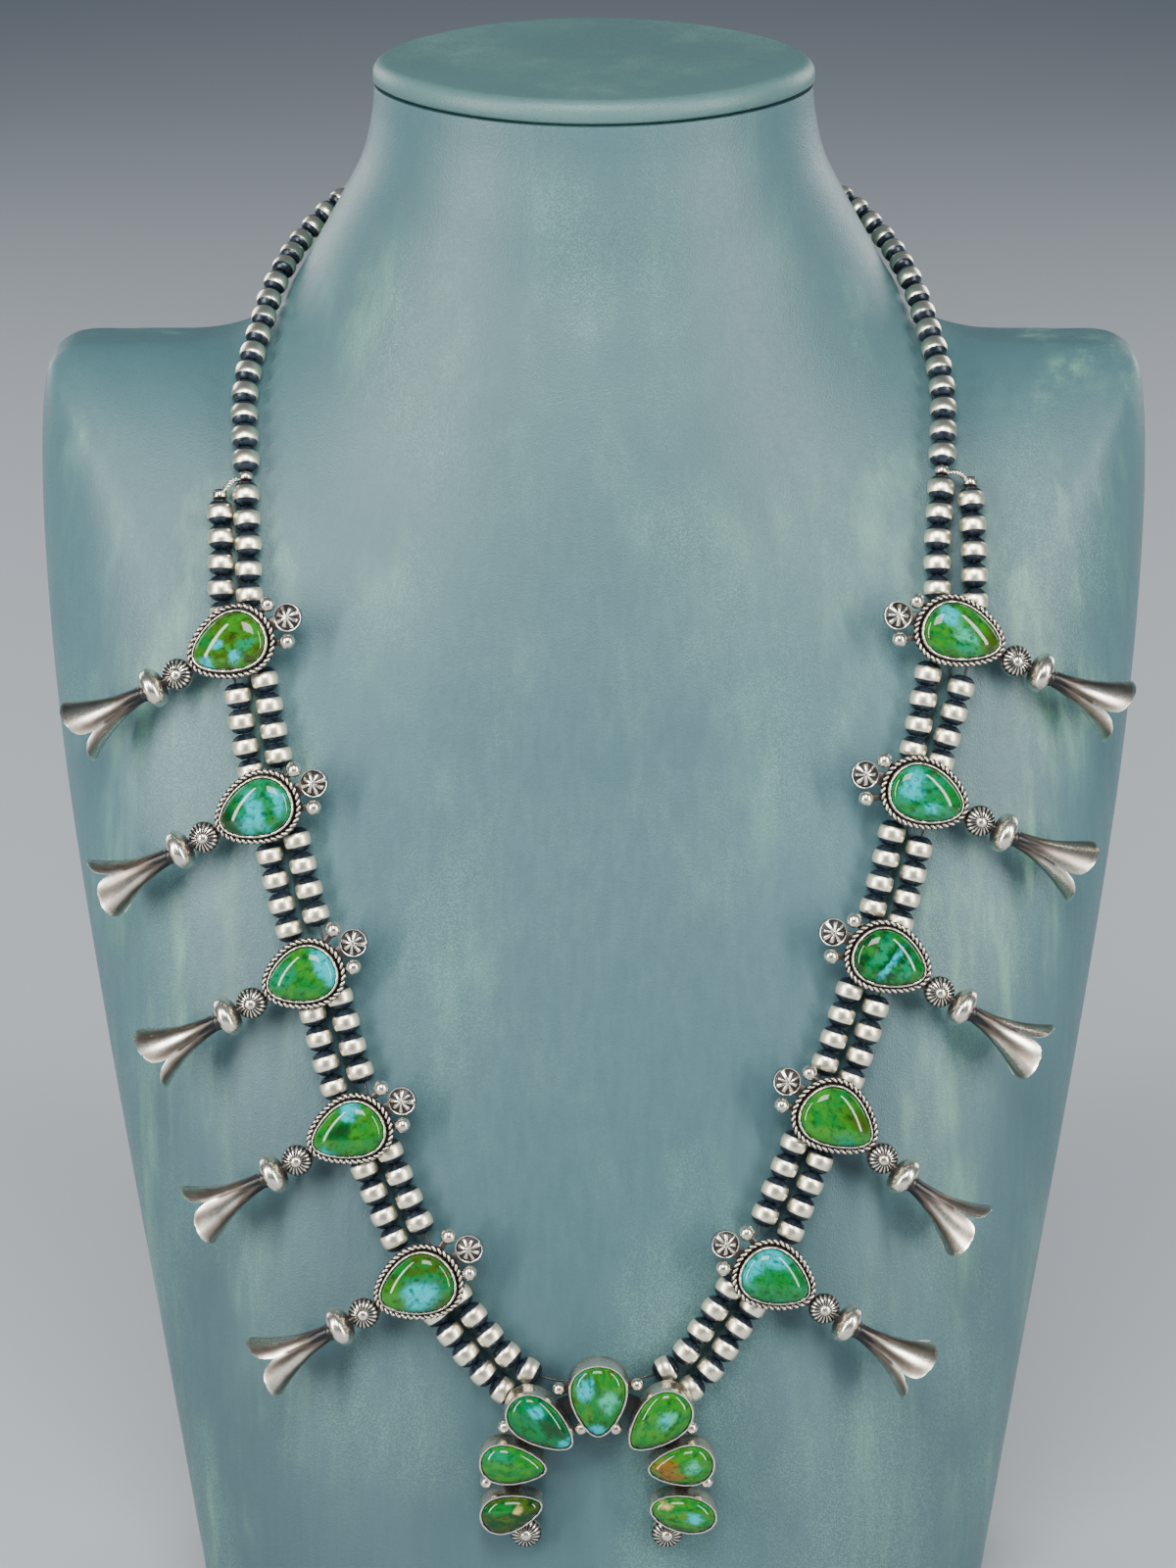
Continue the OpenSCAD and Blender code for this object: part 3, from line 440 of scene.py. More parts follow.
class Shape:
    """Points and faces. Each point has a tone (0 polished, 1 oxidised), a spot (a place for
    patterns) and, where its part is placed, a way (the Z axis of that place)."""

    def __init__(self):
        self.points, self.faces, self.tones, self.spots, self.ways = [], [], [], [], []
        self.count = 0

    def grid(self, rings, tone=0.0, spot=None, place=None, round_=True, loop=False, flip=False,
             caps=False):
        """Rings of points, joined into quads; round_ closes each ring, loop joins last to first."""
        rings = np.asarray(rings, float)
        m, n = rings.shape[:2]
        faces = []
        for i in range(m if loop else m - 1):
            h = (i + 1) % m
            for j in range(n if round_ else n - 1):
                k = (j + 1) % n
                f = (i * n + j, i * n + k, h * n + k, h * n + j)
                faces.append(f[::-1] if flip else f)
        if caps:
            first, last = tuple(range(n)), tuple((m - 1) * n + j for j in range(n))
            faces += [first, last[::-1]] if flip else [first[::-1], last]
        self.faces.extend([tuple(i + self.count for i in f) for f in faces])
        points = rings.reshape(-1, 3)
        self.spots.append(points if spot is None else np.asarray(spot, float).reshape(-1, 3))
        if place is not None:
            points = points @ place[:3, :3].T + place[:3, 3]
            self.ways.append(np.broadcast_to(place[:3, 2], points.shape))
        self.points.append(points)
        self.tones.append(np.broadcast_to(np.asarray(tone, float).reshape(-1), len(points)))
        self.count += len(points)

    def turn(self, profile, tones, n, place, x=0, y=0):
        """A part turned round Z at x and y of a place, with a tone for all or for each profile point."""
        rings = turned(profile, n) + vec(x, y, 0)
        self.grid(rings, tone=np.repeat(np.broadcast_to(tones, len(profile)), n), place=place)

    def make(self, name, material, node, angle=None):
        """The object that stands in for a node; edges sharper than angle stay sharp."""
        mesh = bpy.data.meshes.new(name)
        points = np.concatenate(self.points) * MM
        mesh.from_pydata(points.tolist(), [], self.faces)
        mesh.attributes.new("tone", "FLOAT", "POINT").data.foreach_set("value", np.concatenate(self.tones))
        vectors = {"spot": self.spots}
        if material is BEADS:
            vectors["way"] = self.ways
        for word, parts in vectors.items():
            data = mesh.attributes.new(word, "FLOAT_VECTOR", "POINT").data
            data.foreach_set("vector", np.concatenate(parts).reshape(-1))
        mesh.validate()
        mesh.materials.append(material)
        mesh.shade_smooth()
        if angle:
            mesh.set_sharp_from_angle(angle=math.radians(angle))
        piece = new_object(name, mesh)
        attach(piece, "root")
        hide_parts(node)
        return piece


def tube(points, radius, n, up, closed=False):
    """Rings of a round bar along points."""
    points = np.asarray(points, float)
    t = loop_ways(points) if closed else units(np.gradient(points, axis=0))
    m = units(up - t * np.sum(t * up, 1)[:, None])
    b = np.cross(t, m)
    a = np.linspace(0, 2 * np.pi, n, endpoint=False)[:, None]
    return points[:, None] + radius * (np.cos(a) * m[:, None] + np.sin(a) * b[:, None])


# Shader helpers

class Nodes:
    """Short calls for a material's node tree."""

    def __init__(self, name):
        self.material = bpy.data.materials.new(name)
        self.material.use_nodes = True
        self.tree = self.material.node_tree
        self.shader = self.tree.nodes["Principled BSDF"]

    def node(self, kind, **inputs):
        """New node with its inputs set by name, or by number as i0, i1 and so on."""
        n = self.tree.nodes.new(kind)
        for key, value in inputs.items():
            numbered = key[0] == "i" and key[1:].isdigit()
            self.put(n.inputs[int(key[1:]) if numbered else key], value)
        return n

    def put(self, socket, value):
        if isinstance(value, bpy.types.NodeSocket):
            self.tree.links.new(value, socket)
        elif isinstance(value, tuple) and socket.type == "RGBA" and len(value) == 3:
            socket.default_value = value + (1,)
        else:
            socket.default_value = value

    def set(self, name, value):
        self.put(self.shader.inputs[name], value)

    def attribute(self, name, output="Vector"):
        n = self.tree.nodes.new("ShaderNodeAttribute")
        n.attribute_name = name
        return n.outputs[output]

    def place(self):
        return self.tree.nodes.new("ShaderNodeTexCoord").outputs["Object"]

    def scaled(self, vector, scale, shift=(0, 0, 0)):
        return self.node("ShaderNodeMapping", Vector=vector, Scale=scale, Location=shift).outputs[0]

    def shifted(self, vector, x, y, z):
        return self.scaled(vector, (1, 1, 1), (x, y, z))

    def noise(self, vector, scale, detail=3, rough=0.5):
        return self.node("ShaderNodeTexNoise", Vector=vector, Scale=scale, Detail=detail,
                         Roughness=rough).outputs["Fac"]

    def voronoi(self, vector, scale):
        return self.node("ShaderNodeTexVoronoi", Vector=vector, Scale=scale).outputs["Distance"]

    def math(self, op, a, b=0.0, c=0.0):
        n = self.node("ShaderNodeMath", i0=a, i1=b, i2=c)
        n.operation = op
        return n.outputs[0]

    def vector_math(self, op, a, b=(0, 0, 0)):
        n = self.node("ShaderNodeVectorMath", i0=a, i1=b)
        n.operation = op
        return n.outputs["Value" if op == "LENGTH" else "Vector"]

    def step(self, value, low, high, out_low=0.0, out_high=1.0):
        """Smooth rise from out_low to out_high while the value goes from low to high."""
        n = self.tree.nodes.new("ShaderNodeMapRange")
        n.interpolation_type = "SMOOTHSTEP"
        for key, v in (("Value", value), ("From Min", low), ("From Max", high), ("To Min", out_low),
                       ("To Max", out_high)):
            self.put(n.inputs[key], v)
        return n.outputs["Result"]

    def mix(self, factor, a, b):
        n = self.tree.nodes.new("ShaderNodeMix")
        n.data_type = "RGBA"
        self.put(n.inputs["Factor"], factor)
        self.put(n.inputs["A"], a)
        self.put(n.inputs["B"], b)
        return n.outputs["Result"]

    def bump(self, height, distance, strength=1.0, normal=None):
        n = self.node("ShaderNodeBump", Height=height, Distance=distance, Strength=strength)
        if normal is not None:
            self.put(n.inputs["Normal"], normal)
        return n.outputs[0]


# Materials

WORN_GREEN = (0.16, 0.34, 0.24)
GLINT_GREEN = (0.2, 0.4, 0.3)
UPPER_TONE = (0.046, 0.107, 0.116)


def leather(name, pale, deep):
    """Leatherette: grain and pores, pale worn streaks down it, painted glints on the grain, and painted
    shade that makes it darker towards the foot.
    """
    m = Nodes(name)
    here = m.place()
    grain = m.voronoi(here, 2500)
    pores = m.noise(here, 3200, 2)
    lumps = m.noise(here, 900, 3, 0.55)
    streaks = m.noise(m.scaled(here, (95, 95, 13)), 1, 5, 0.66)
    wander = m.noise(m.scaled(here, (22, 22, 11)), 1, 4, 0.6)
    fine = m.noise(m.scaled(here, (520, 520, 60)), 1, 3, 0.6)
    broad = m.noise(m.scaled(here, (11, 11, 6)), 1, 3, 0.55)
    mottle = m.math("MULTIPLY", m.step(streaks, 0.46, 0.74), m.step(wander, 0.42, 0.64))
    axes = m.node("ShaderNodeSeparateXYZ", Vector=here).outputs
    sides = m.step(m.math("ABSOLUTE", axes["X"]), 0.03, 0.1)
    amount = m.math("MULTIPLY", mottle, m.math("MULTIPLY_ADD", sides, 0.7, 0.2))
    base = m.mix(m.step(fine, 0.3, 0.75, 0, 0.5), deep, pale)
    base = m.mix(m.step(broad, 0.38, 0.68, 0, 0.5), base, tuple(1.14 * c for c in pale))
    base = m.mix(m.step(axes["Z"], 0.2, 0.31, 0, 0.6), base, UPPER_TONE)
    base = m.mix(amount, base, WORN_GREEN)
    # Painted shade: the lower bust is darkened towards the foot, standing in for the light that falls off
    # there.
    base = m.mix(m.step(axes["Z"], 0.03, 0.2, 0.45, 0), base, tuple(0.45 * c for c in pale))
    base = m.mix(m.step(grain, 0.0, 0.5, 0.22, 0), base, tuple(0.5 * c for c in deep))
    # Painted glints: pale mint highlights painted onto the grain's cells, in wandering patches.
    glint = m.math("MULTIPLY", m.step(grain, 0.42, 0.7), m.step(wander, 0.46, 0.68, 0.0, 0.2))
    base = m.mix(glint, base, GLINT_GREEN)
    m.set("Base Color", base)
    m.set("Roughness", m.math("MULTIPLY_ADD", lumps, 0.24, 0.32))
    m.set("Specular IOR Level", 0.45)
    low = m.bump(grain, 0.0001, 0.5)
    low = m.bump(lumps, 0.00006, 0.5, low)
    m.set("Normal", m.bump(pores, 0.00004, 0.35, low))
    return m.material


def silver(name):
    """Sterling with its oxidised recesses: the tone of the points says how dark."""
    m = Nodes(name)
    tone = m.attribute("tone", "Fac")
    here = m.place()
    cloud = m.noise(here, 300, 4, 0.6)
    fine = m.noise(here, 1500, 3, 0.6)
    dark = m.math("ADD", tone, m.math("MULTIPLY_ADD", cloud, 0.2, -0.1))
    half = m.step(dark, 0.1, 0.55)
    full = m.step(dark, 0.5, 0.85)
    bright = m.mix(m.step(fine, 0.3, 0.7), (0.70, 0.65, 0.55), (0.82, 0.77, 0.67))
    bright = m.mix(m.step(cloud, 0.5, 0.75, 0, 0.5), bright, (0.45, 0.39, 0.32))
    color = m.mix(half, bright, (0.17, 0.135, 0.11))
    m.set("Base Color", m.mix(full, color, (0.009, 0.009, 0.011)))
    m.set("Metallic", m.step(full, 0, 1, 1, 0.3))
    m.set("Roughness", m.math("MULTIPLY_ADD", fine, 0.1, m.math("MULTIPLY_ADD", half, 0.1, 0.19)))
    m.set("Normal", m.bump(fine, 0.00002, 0.3))
    return m.material


def bead_silver(name):
    """Beads: a turned bright band between oxidised ends. The spot is (share along, cos, sin)."""
    m = Nodes(name)
    spot = m.attribute("spot")
    tone = m.attribute("tone", "Fac")
    share = m.math("ABSOLUTE", m.node("ShaderNodeSeparateXYZ", Vector=spot).outputs["X"])
    jitter = m.vector_math("ADD", spot, m.node("ShaderNodeCombineXYZ", X=tone).outputs[0])
    lines = m.noise(m.scaled(jitter, (14, 1.2, 1.2)), 1, 3, 0.7)
    edge = m.noise(m.scaled(jitter, (1, 1.6, 1.6)), 1, 2, 0.5)
    place = m.math("ADD", share, m.math("MULTIPLY_ADD", edge, 0.1, -0.05))
    full = m.step(place, 0.53, 0.57)
    half = m.step(place, 0.48, 0.55)
    bright = m.mix(m.step(lines, 0.3, 0.7), (0.87, 0.8, 0.6), (0.98, 0.92, 0.73))
    color = m.mix(half, bright, (0.4, 0.36, 0.29))
    end = m.mix(m.step(edge, 0.4, 0.65), (0.008, 0.014, 0.024), (0.026, 0.038, 0.054))
    m.set("Base Color", m.mix(full, color, end))
    m.set("Metallic", m.step(full, 0, 1, 1, 0.5))
    m.set("Roughness", m.math("MULTIPLY_ADD", lines, 0.06, m.step(full, 0, 1, 0.27, 0.24)))
    m.set("Anisotropic", 0.75)
    normal = m.node("ShaderNodeNewGeometry").outputs["Normal"]
    m.set("Tangent", m.vector_math("CROSS_PRODUCT", normal, m.attribute("way")))
    m.set("Normal", m.bump(lines, 0.00003, 0.25))
    return m.material


def turquoise(name, base, deep, patches, matrix, seed, specks=0.5, veins=0.3):
    """Polished stone: green body, soft colour patches at chosen places, specks and veins of matrix."""
    m = Nodes(name)
    spot = m.attribute("spot")
    warp_a = m.noise(m.shifted(spot, seed, 0, 0), 2.2, 3, 0.55)
    warp_b = m.noise(m.shifted(spot, 0, seed, 0), 2.2, 3, 0.55)
    bend = m.node("ShaderNodeCombineXYZ", X=m.math("MULTIPLY_ADD", warp_a, 0.6, -0.3),
                  Y=m.math("MULTIPLY_ADD", warp_b, 0.6, -0.3)).outputs[0]
    bent = m.vector_math("ADD", spot, bend)
    cloud = m.noise(m.shifted(spot, seed, seed, 0), 2.6, 4, 0.6)
    color = m.mix(m.step(cloud, 0.38, 0.6), deep, base)
    for x, y, rx, ry, tint, soft in patches:
        reach = m.vector_math("LENGTH", m.scaled(bent, (1 / rx, 1 / ry, 0), (-x / rx, -y / ry, 0)))
        halo = tuple(0.45 * t + 0.55 * g for t, g in zip(tint, base))
        color = m.mix(m.step(reach, 0.8, 1.9, 0.85, 0), color, halo)
        color = m.mix(m.step(reach, 1 - soft, 1 + soft, 1, 0), color, tint)
    shade = m.noise(m.shifted(spot, seed, 0, 5), 4, 4, 0.62)
    color = m.mix(m.step(shade, 0.48, 0.68, 0, 0.7), color, tuple(0.2 * c for c in deep))
    fleck = m.noise(m.shifted(spot, 0, 0, seed), 9, 4, 0.68)
    color = m.mix(m.step(fleck, 0.69 - 0.16 * specks, 0.75 - 0.12 * specks, 0, 0.85), color, matrix)
    middle = m.math("SUBTRACT", m.noise(m.shifted(bent, seed, 0, seed), 1.9, 4, 0.6), 0.5)
    line = m.math("ABSOLUTE", middle)
    near = m.math("MULTIPLY", m.step(line, 0.0, 0.02, 1, 0), m.step(cloud, 0.42, 0.56, 1, 0))
    color = m.mix(m.math("MULTIPLY", near, veins), color, matrix)
    m.set("Base Color", color)
    m.set("Roughness", m.math("MULTIPLY_ADD", fleck, 0.05, 0.03))
    m.set("Specular IOR Level", 0.32)
    return m.material


def cable_metal(name):
    """Dark twisted wire. The spot is the way along it and the share round it."""
    m = Nodes(name)
    spot = m.attribute("spot")
    coil = m.node("ShaderNodeTexWave", Vector=spot, Scale=0.9, Distortion=0.3).outputs["Fac"]
    m.set("Base Color", m.mix(m.step(coil, 0.2, 0.8), (0.012, 0.013, 0.017), (0.12, 0.115, 0.11)))
    m.set("Metallic", 0.6)
    m.set("Roughness", m.math("MULTIPLY_ADD", coil, -0.1, 0.42))
    m.set("Normal", m.bump(coil, 0.0001, 0.6))
    return m.material


LEATHER = leather("bust_leather", (0.06, 0.13, 0.151), (0.043, 0.098, 0.115))
CAP_LEATHER = leather("cap_leather", (0.102, 0.192, 0.175), (0.076, 0.148, 0.135))
SILVER = silver("silver")
BEADS = bead_silver("bead_silver")
THREAD = cable_metal("thread")

# The camera and the lights

TILT = math.radians(18)
AIM = vec(-1.3, -22, 205)
FORWARD = vec(0, math.cos(TILT), -math.sin(TILT))
DISTANCE = 1400
FRAME_H = 1600
FOCAL_PX = 6422
SENSOR = 36
camera = bpy.data.cameras.new("camera")
camera.sensor_fit = "VERTICAL"
camera.sensor_height = SENSOR
camera.lens = SENSOR * FOCAL_PX / FRAME_H
camera.clip_start = 0.05
eye = new_object("camera", camera)
eye.location = (AIM - FORWARD * DISTANCE) * MM
eye.rotation_euler = (math.pi / 2 - TILT, 0, 0)
bpy.context.scene.camera = eye


def light(name, place, target, size, power, tint=(1, 1, 1), size_y=None):
    """Soft light at a place, aimed at a target; places and sizes are in metres."""
    data = bpy.data.lights.new(name, "AREA")
    data.shape = "RECTANGLE"
    data.size, data.size_y = size, size_y or size
    data.energy, data.color = power, tint
    lamp = new_object(name, data)
    lamp.location = place
    way = vec(*target) - vec(*place)
    pitch = math.atan2(math.hypot(way[0], way[1]), -way[2])
    lamp.rotation_euler = (pitch, 0, math.atan2(way[1], way[0]) - math.pi / 2)


light("key", (-0.04, -0.66, 0.86), (0, -0.03, 0.2), 0.36, 9, (1, 0.99, 0.97))
light("strip_left", (-0.72, -0.62, 0.48), (0, -0.02, 0.2), 0.11, 13.5, (1, 0.98, 0.93), 0.9)
light("strip_right", (0.72, -0.6, 0.48), (0, -0.02, 0.2), 0.11, 11.5, (1, 0.98, 0.93), 0.9)
light("back_left", (-1.0, 0.95, 0.6), (0, 0.05, 0.2), 0.8, 11)
light("back_right", (1.0, 0.95, 0.6), (0, 0.05, 0.2), 0.8, 11)

world = bpy.data.worlds.new("studio")
world.use_nodes = True
sky = world.node_tree.nodes["Background"].inputs
sky["Color"].default_value = (0.54, 0.66, 0.8, 1)
sky["Strength"].default_value = 0.26
bpy.context.scene.world = world

FLOOR = 12
floor_mesh = bpy.data.meshes.new("floor")
floor_mesh.from_pydata([(-FLOOR, -FLOOR, 0), (FLOOR, -FLOOR, 0), (FLOOR, FLOOR, 0), (-FLOOR, FLOOR, 0)], [],
                       [(0, 1, 2, 3)])
floor_nodes = Nodes("floor")
floor_nodes.set("Base Color", (0.42, 0.445, 0.475))
floor_nodes.set("Roughness", 0.7)
floor_mesh.materials.append(floor_nodes.material)
new_object("floor", floor_mesh)

# Bust and cap

bust = Shape()
turns = [360 * j / BUST_TURN for j in range(BUST_TURN)]
rows = [(len(ROWS) - 1) * i / ROW_STEPS for i in range(ROW_STEPS + 1)]
rings = [[skin(a, v) for a in turns] for v in rows]
bust.grid(rings, caps=True, flip=True)
bust.make("bust", LEATHER, "neck_bust", angle=50)


def rim_ring(grow, lift):
    c = (skin(0, 0) + skin(180, 0)) / 2
    return [c + (skin(a, 0) - c) * grow + vec(0, 0, lift) for a in turns]


cap = Shape()
rim = HALF_W * ROWS[0][0]
top = SEAM_GAP + CAP_T
profile = [(1 - CAP_EDGE / rim, SEAM_GAP), (1.002 - 1 / rim, SEAM_GAP + 0.15), (1.008, SEAM_GAP + 0.9)]
for step in range(0, 91, 9):
    a = math.radians(step)
    profile.append((1.008 - CAP_EDGE * (1 - math.cos(a)) / rim, top - CAP_EDGE * (1 - math.sin(a))))
for share in (0.9, 0.8, 0.65, 0.5, 0.35, 0.2, 0.1, 0.04, 0.01, 0.002):
    profile.append((share, top + 0.25 * (1 - share * share)))
cap.grid([rim_ring(g, z) for g, z in profile], caps=True)
cap.make("cap", CAP_LEATHER, "neck_cap")

# Threads

def cable(name, node, places, out, reach, closed):
    """Thread through places on a strand; reach is the way along it to each of them."""
    line = [thread_point(u, out) for u in places]
    rings = tube(line, THREAD_D / 2, CABLE_SIDES, np.array([up_from(u) for u in places]), closed)
    share = np.tile(np.arange(CABLE_SIDES) / CABLE_SIDES, len(places))
    spot = np.stack([np.repeat(reach, CABLE_SIDES), share, 0 * share], 1)
    shape = Shape()
    shape.grid(rings, spot=spot, loop=closed, caps=not closed)
    shape.make(name, THREAD, node)


def main_cable():
    reach = MAIN_TOTAL * np.arange(MAIN_STEPS) / MAIN_STEPS
    cable("main_cable", "main_thread", [main_u(s) for s in reach], 0, reach, True)


def link_end(side):
    return outer_run(len(RUNS) - 1, side)[0][0] - side * ((BEAD_LEN + CRIMP) / 2 + CRIMP_GAP)


def outer_cable():
    """From the left link down to the naja and up to the right link."""
    left = link_end(-1) - CRIMP / 4
    right = OUTER_TOTAL - link_end(1) - CRIMP / 4
    reach = (left + right) * np.arange(OUTER_STEPS + 1) / OUTER_STEPS
    places = [outer_u((left - s) % OUTER_TOTAL) for s in reach]
    cable("outer_cable", "outer_thread", places, STRAND_GAP, reach, False)


main_cable()
outer_cable()

# Beads

def bead_into(shape, place, d, length):
    half = length / 2
    hole = BEAD_HOLE / 2
    end = (hole + end_radius(d, length)) / 2
    profile = [(hole, -half * 0.8), (hole, -half + 0.1), (end, -half)]
    for i in range(BEAD_STEPS + 1):
        z = -half * math.cos(math.pi * i / BEAD_STEPS)
        profile.append((d / 2 * (1 - abs(2 * z / d) ** BEAD_FULL) ** 0.5, z))
    profile += [(end, half), (hole, half - 0.1), (hole, half * 0.8)]
    spot = turned([(1, z / half) for r, z in profile], BEAD_SIDES)[..., [2, 0, 1]]
    shape.grid(turned(profile, BEAD_SIDES), tone=float(rng.random() * 50), spot=spot, place=place)


def string(kind, word, beads, out, fuller=1.0):
    shape = Shape()
    for s, d, length in beads:
        bead_into(shape, at_thread(strand_u(s, out), out), d * fuller, length)
    shape.make(f"{kind}_string_{word}", BEADS, f"{kind}_beads_{word}")


for side, word in SIDES:
    string("neck", word, neck_beads(side), 0, NECK_FULLER)
    string("inner", word, [b for j in range(len(RUNS)) for b in inner_run(j, side)], 0)
    string("outer", word, [b for j in range(len(RUNS)) for b in outer_run(j, side)], STRAND_GAP)


def strand_link(side, word):
    """Twisted wire from the main strand to the end of the outer one, with a crimp at each end."""
    u = main_u((inner_run(len(RUNS) - 1, side)[-1][0] + neck_beads(side)[0][0]) / 2)
    w = outer_u(link_end(side))
    a, b = thread_point(u, 0), thread_point(w, STRAND_GAP)
    n = up_from(u)
    way = unit(b - a)
    crimp_d = BEAD_HOLE + 2 * TUBE_WALL
    inset = crimp_d * 0.35
    reach = np.linalg.norm(b - a) - 2 * inset
    m = unit(n - way * (way @ n))
    c = np.cross(way, m)
    shape = Shape()
    for k in (0, math.pi):
        line = []
        for i in range(LINK_STEPS + 1):
            t = i / LINK_STEPS
            turn = k + t * LINK_TWIST * math.pi
            line.append(a + way * (inset + reach * t) + n * LINK_BOW * math.sin(math.pi * t)
                        + LINK_WIRE * 0.38 * (math.cos(turn) * m + math.sin(turn) * c))
        shape.grid(tube(line, LINK_WIRE * 0.4, WIRE_SIDES, n), tone=0.12, caps=True)
    r = crimp_d * 1.15 / 2
    profile = [(BEAD_HOLE / 2, -CRIMP / 2), (r * 0.8, -CRIMP / 2), (r * 0.97, -CRIMP / 3), (r, 0),
               (r * 0.97, CRIMP / 3), (r * 0.8, CRIMP / 2), (BEAD_HOLE / 2, CRIMP / 2)]
    for place in (at_thread(u, 0), at_thread(w, STRAND_GAP)):
        shape.turn(profile, [0.9, 0.6, 0.3, 0.1, 0.3, 0.6, 0.9], 24, place)
    shape.make("link_" + word, SILVER, "strand_link_" + word)


for side, word in SIDES:
    strand_link(side, word)

# The barrel clasp from an end to its middle: share of its radius and of half its length, and tone
CLASP_HALF = [(0.72, 1, 0.5), (0.83, 0.95, 0.1), (0.85, 0.36, 0.6), (0.97, 0.335, 0.2), (1, 0.3, 0),
              (1, 0.03, 0), (0.93, 0.012, 0.8)]


def barrel_clasp():
    hole, half = (BEAD_HOLE + 0.8) / 2, CLASP_LEN / 2
    points = [(hole, -half - CLASP_END, 0.9), (hole + TUBE_WALL, -half - CLASP_END, 0.3),
              (hole + TUBE_WALL, -half, 0.7)]
    points += [(CLASP_D / 2 * r, -half * z, tone) for r, z, tone in CLASP_HALF]
    points += [(r, -z, tone) for r, z, tone in points[::-1]]
    s = (neck_beads(-1)[-1][0] + neck_beads(1)[-1][0]) / 2
    shape = Shape()
    shape.turn([p[:2] for p in points], [p[2] for p in points], 40, at_thread(main_u(s), 0))
    shape.make("barrel_clasp", SILVER, "clasp", angle=40)


barrel_clasp()

# Settings: pieces of silverwork, each added to a shape in its own frame


def stacked(shape, outline, levels, place, caps=False):
    """Rings along an outline; a level is how far it is grown, its height and its tone."""
    n = len(outline)
    rings = [np.column_stack([grown(outline, d), np.broadcast_to(z, n)]) for d, z, t in levels]
    shape.grid(rings, tone=np.repeat([t for d, z, t in levels], n), place=place, caps=caps)


def flat_plate(shape, outline, place, tone=0.85):
    """Plate under a stone: bevelled rim, its top going in under the setting."""
    stacked(shape, outline, [
        (-1.5, 0, 0.5), (0, 0, 0.5), (0.05, 0.1, 0.3), (0.05, PLATE_T - 0.15, 0.35),
        (-0.08, PLATE_T, 0.5), (-0.5, PLATE_T, tone), (-2.5, PLATE_T, tone)], place, caps=True)


def bezel(shape, outline, height, place, deep=0.5):
    """Thin wall round a stone, pressed in at its top, with a bright worn edge."""
    step = np.arange(len(outline))
    waves = 0.05 * np.sin(step * 0.9) + 0.03 * np.sin(step * 2.3 + 1)
    w = BEZEL_WALL + STONE_GAP
    levels = []
    for d, z, t in ((w + 0.1, 0, deep), (w, 0.15 * height, deep * 0.8), (w, 0.6 * height, deep * 0.55),
                    (w - 0.03, 0.9 * height, 0.12), (w - 0.14, height, 0), (w - 0.3, height + 0.03, 0),
                    (STONE_GAP + 0.02, height - 0.05, 0.15), (STONE_GAP - 0.05, 0.8 * height, 0.9)):
        levels.append((d, PLATE_T + z + (waves if z >= 0.9 * height else 0), t))
    stacked(shape, outline, levels, place)


def rope(shape, outline, z, place):
    """Two wires twisted together, laid along an outline."""
    closed = np.vstack([outline, outline[:1]])
    reach = np.concatenate([[0], np.cumsum(np.linalg.norm(np.diff(closed, axis=0), axis=1))])
    turns = round(reach[-1] / ROPE_PITCH)
    count = turns * ROPE_STEPS
    s = np.linspace(0, reach[-1], count, endpoint=False)
    x, y = (np.interp(s, reach, closed[:, k]) for k in (0, 1))
    line = np.stack([x, y, np.full(count, z)], 1)
    up = vec(0, 0, 1)
    side = np.cross(loop_ways(line), up)
    wire = ROPE_D * ROPE_WIRE
    for k in (0, math.pi):
        turn = (2 * np.pi * turns * np.arange(count) / count + k)[:, None]
        rings = tube(line + wire * (np.cos(turn) * up + np.sin(turn) * side), wire, WIRE_SIDES, up, True)
        height = (rings[..., 2] - z) / (2 * wire)
        shape.grid(rings, tone=np.clip(1.45 - 1.75 * height, 0.14, 1).reshape(-1), place=place, loop=True)


def relief(shape, x, y, radius, height, tone, place, around):
    """Round button on a plate, from functions of the share of the radius and the angle."""
    angles = np.linspace(0, 2 * np.pi, around, endpoint=False)
    across, along_y = radius * np.cos(angles), radius * np.sin(angles)
    rings = [np.stack([x + across, y + along_y, np.full(around, PLATE_T - RELIEF_FOOT)], 1)]
    tones = [np.full(around, 0.6)]
    for i in range(RELIEF_RINGS + 1):
        f = 1 - i / RELIEF_RINGS * 0.999
        rings.append(np.stack([x + f * across, y + f * along_y, PLATE_T + height(f, angles)], 1))
        tones.append(np.clip(tone(f, angles), 0, 1))
    shape.grid(rings, tone=np.array(tones).reshape(-1), place=place, caps=True)


# How far each ray of a star button reaches, as a share of its radius
RAYS = np.array([0.93, 0.8, 0.9, 0.84, 0.95, 0.78, 0.88, 0.83])


def star_button(shape, x, y, place, turn):
    radius = STAR_D / 2
    apart = 2 * math.pi / len(RAYS)

    def ray(f, angles):
        a = (angles + turn) % (2 * np.pi)
        near = np.round(a / apart)
        k = near.astype(int) % len(RAYS)
        off = np.abs((a - near * apart) * f * radius)
        wide = 0.16 + (0.3 + 0.09 * np.sin(k * 2.1)) * f
        mask = np.clip(1.5 - off / wide, 0, 1) * np.clip((RAYS[k] - f) * 14, 0, 1)
        return np.maximum(mask, 1.0 if f < 0.14 else 0.0)

    def height(f, angles):
        dome = (STAR_H - 0.28) * (1 - f * f) if f < 0.9 else 0.35
        return max(dome, 0.2) + 0.24 * ray(f, angles) + (0.12 if f > 0.93 else 0)

    def tone(f, angles):
        return np.full(len(angles), 0.05) if f > 0.9 else 0.97 - 1.05 * ray(f, angles)

    relief(shape, x, y, radius, height, tone, place, 22 * len(RAYS))


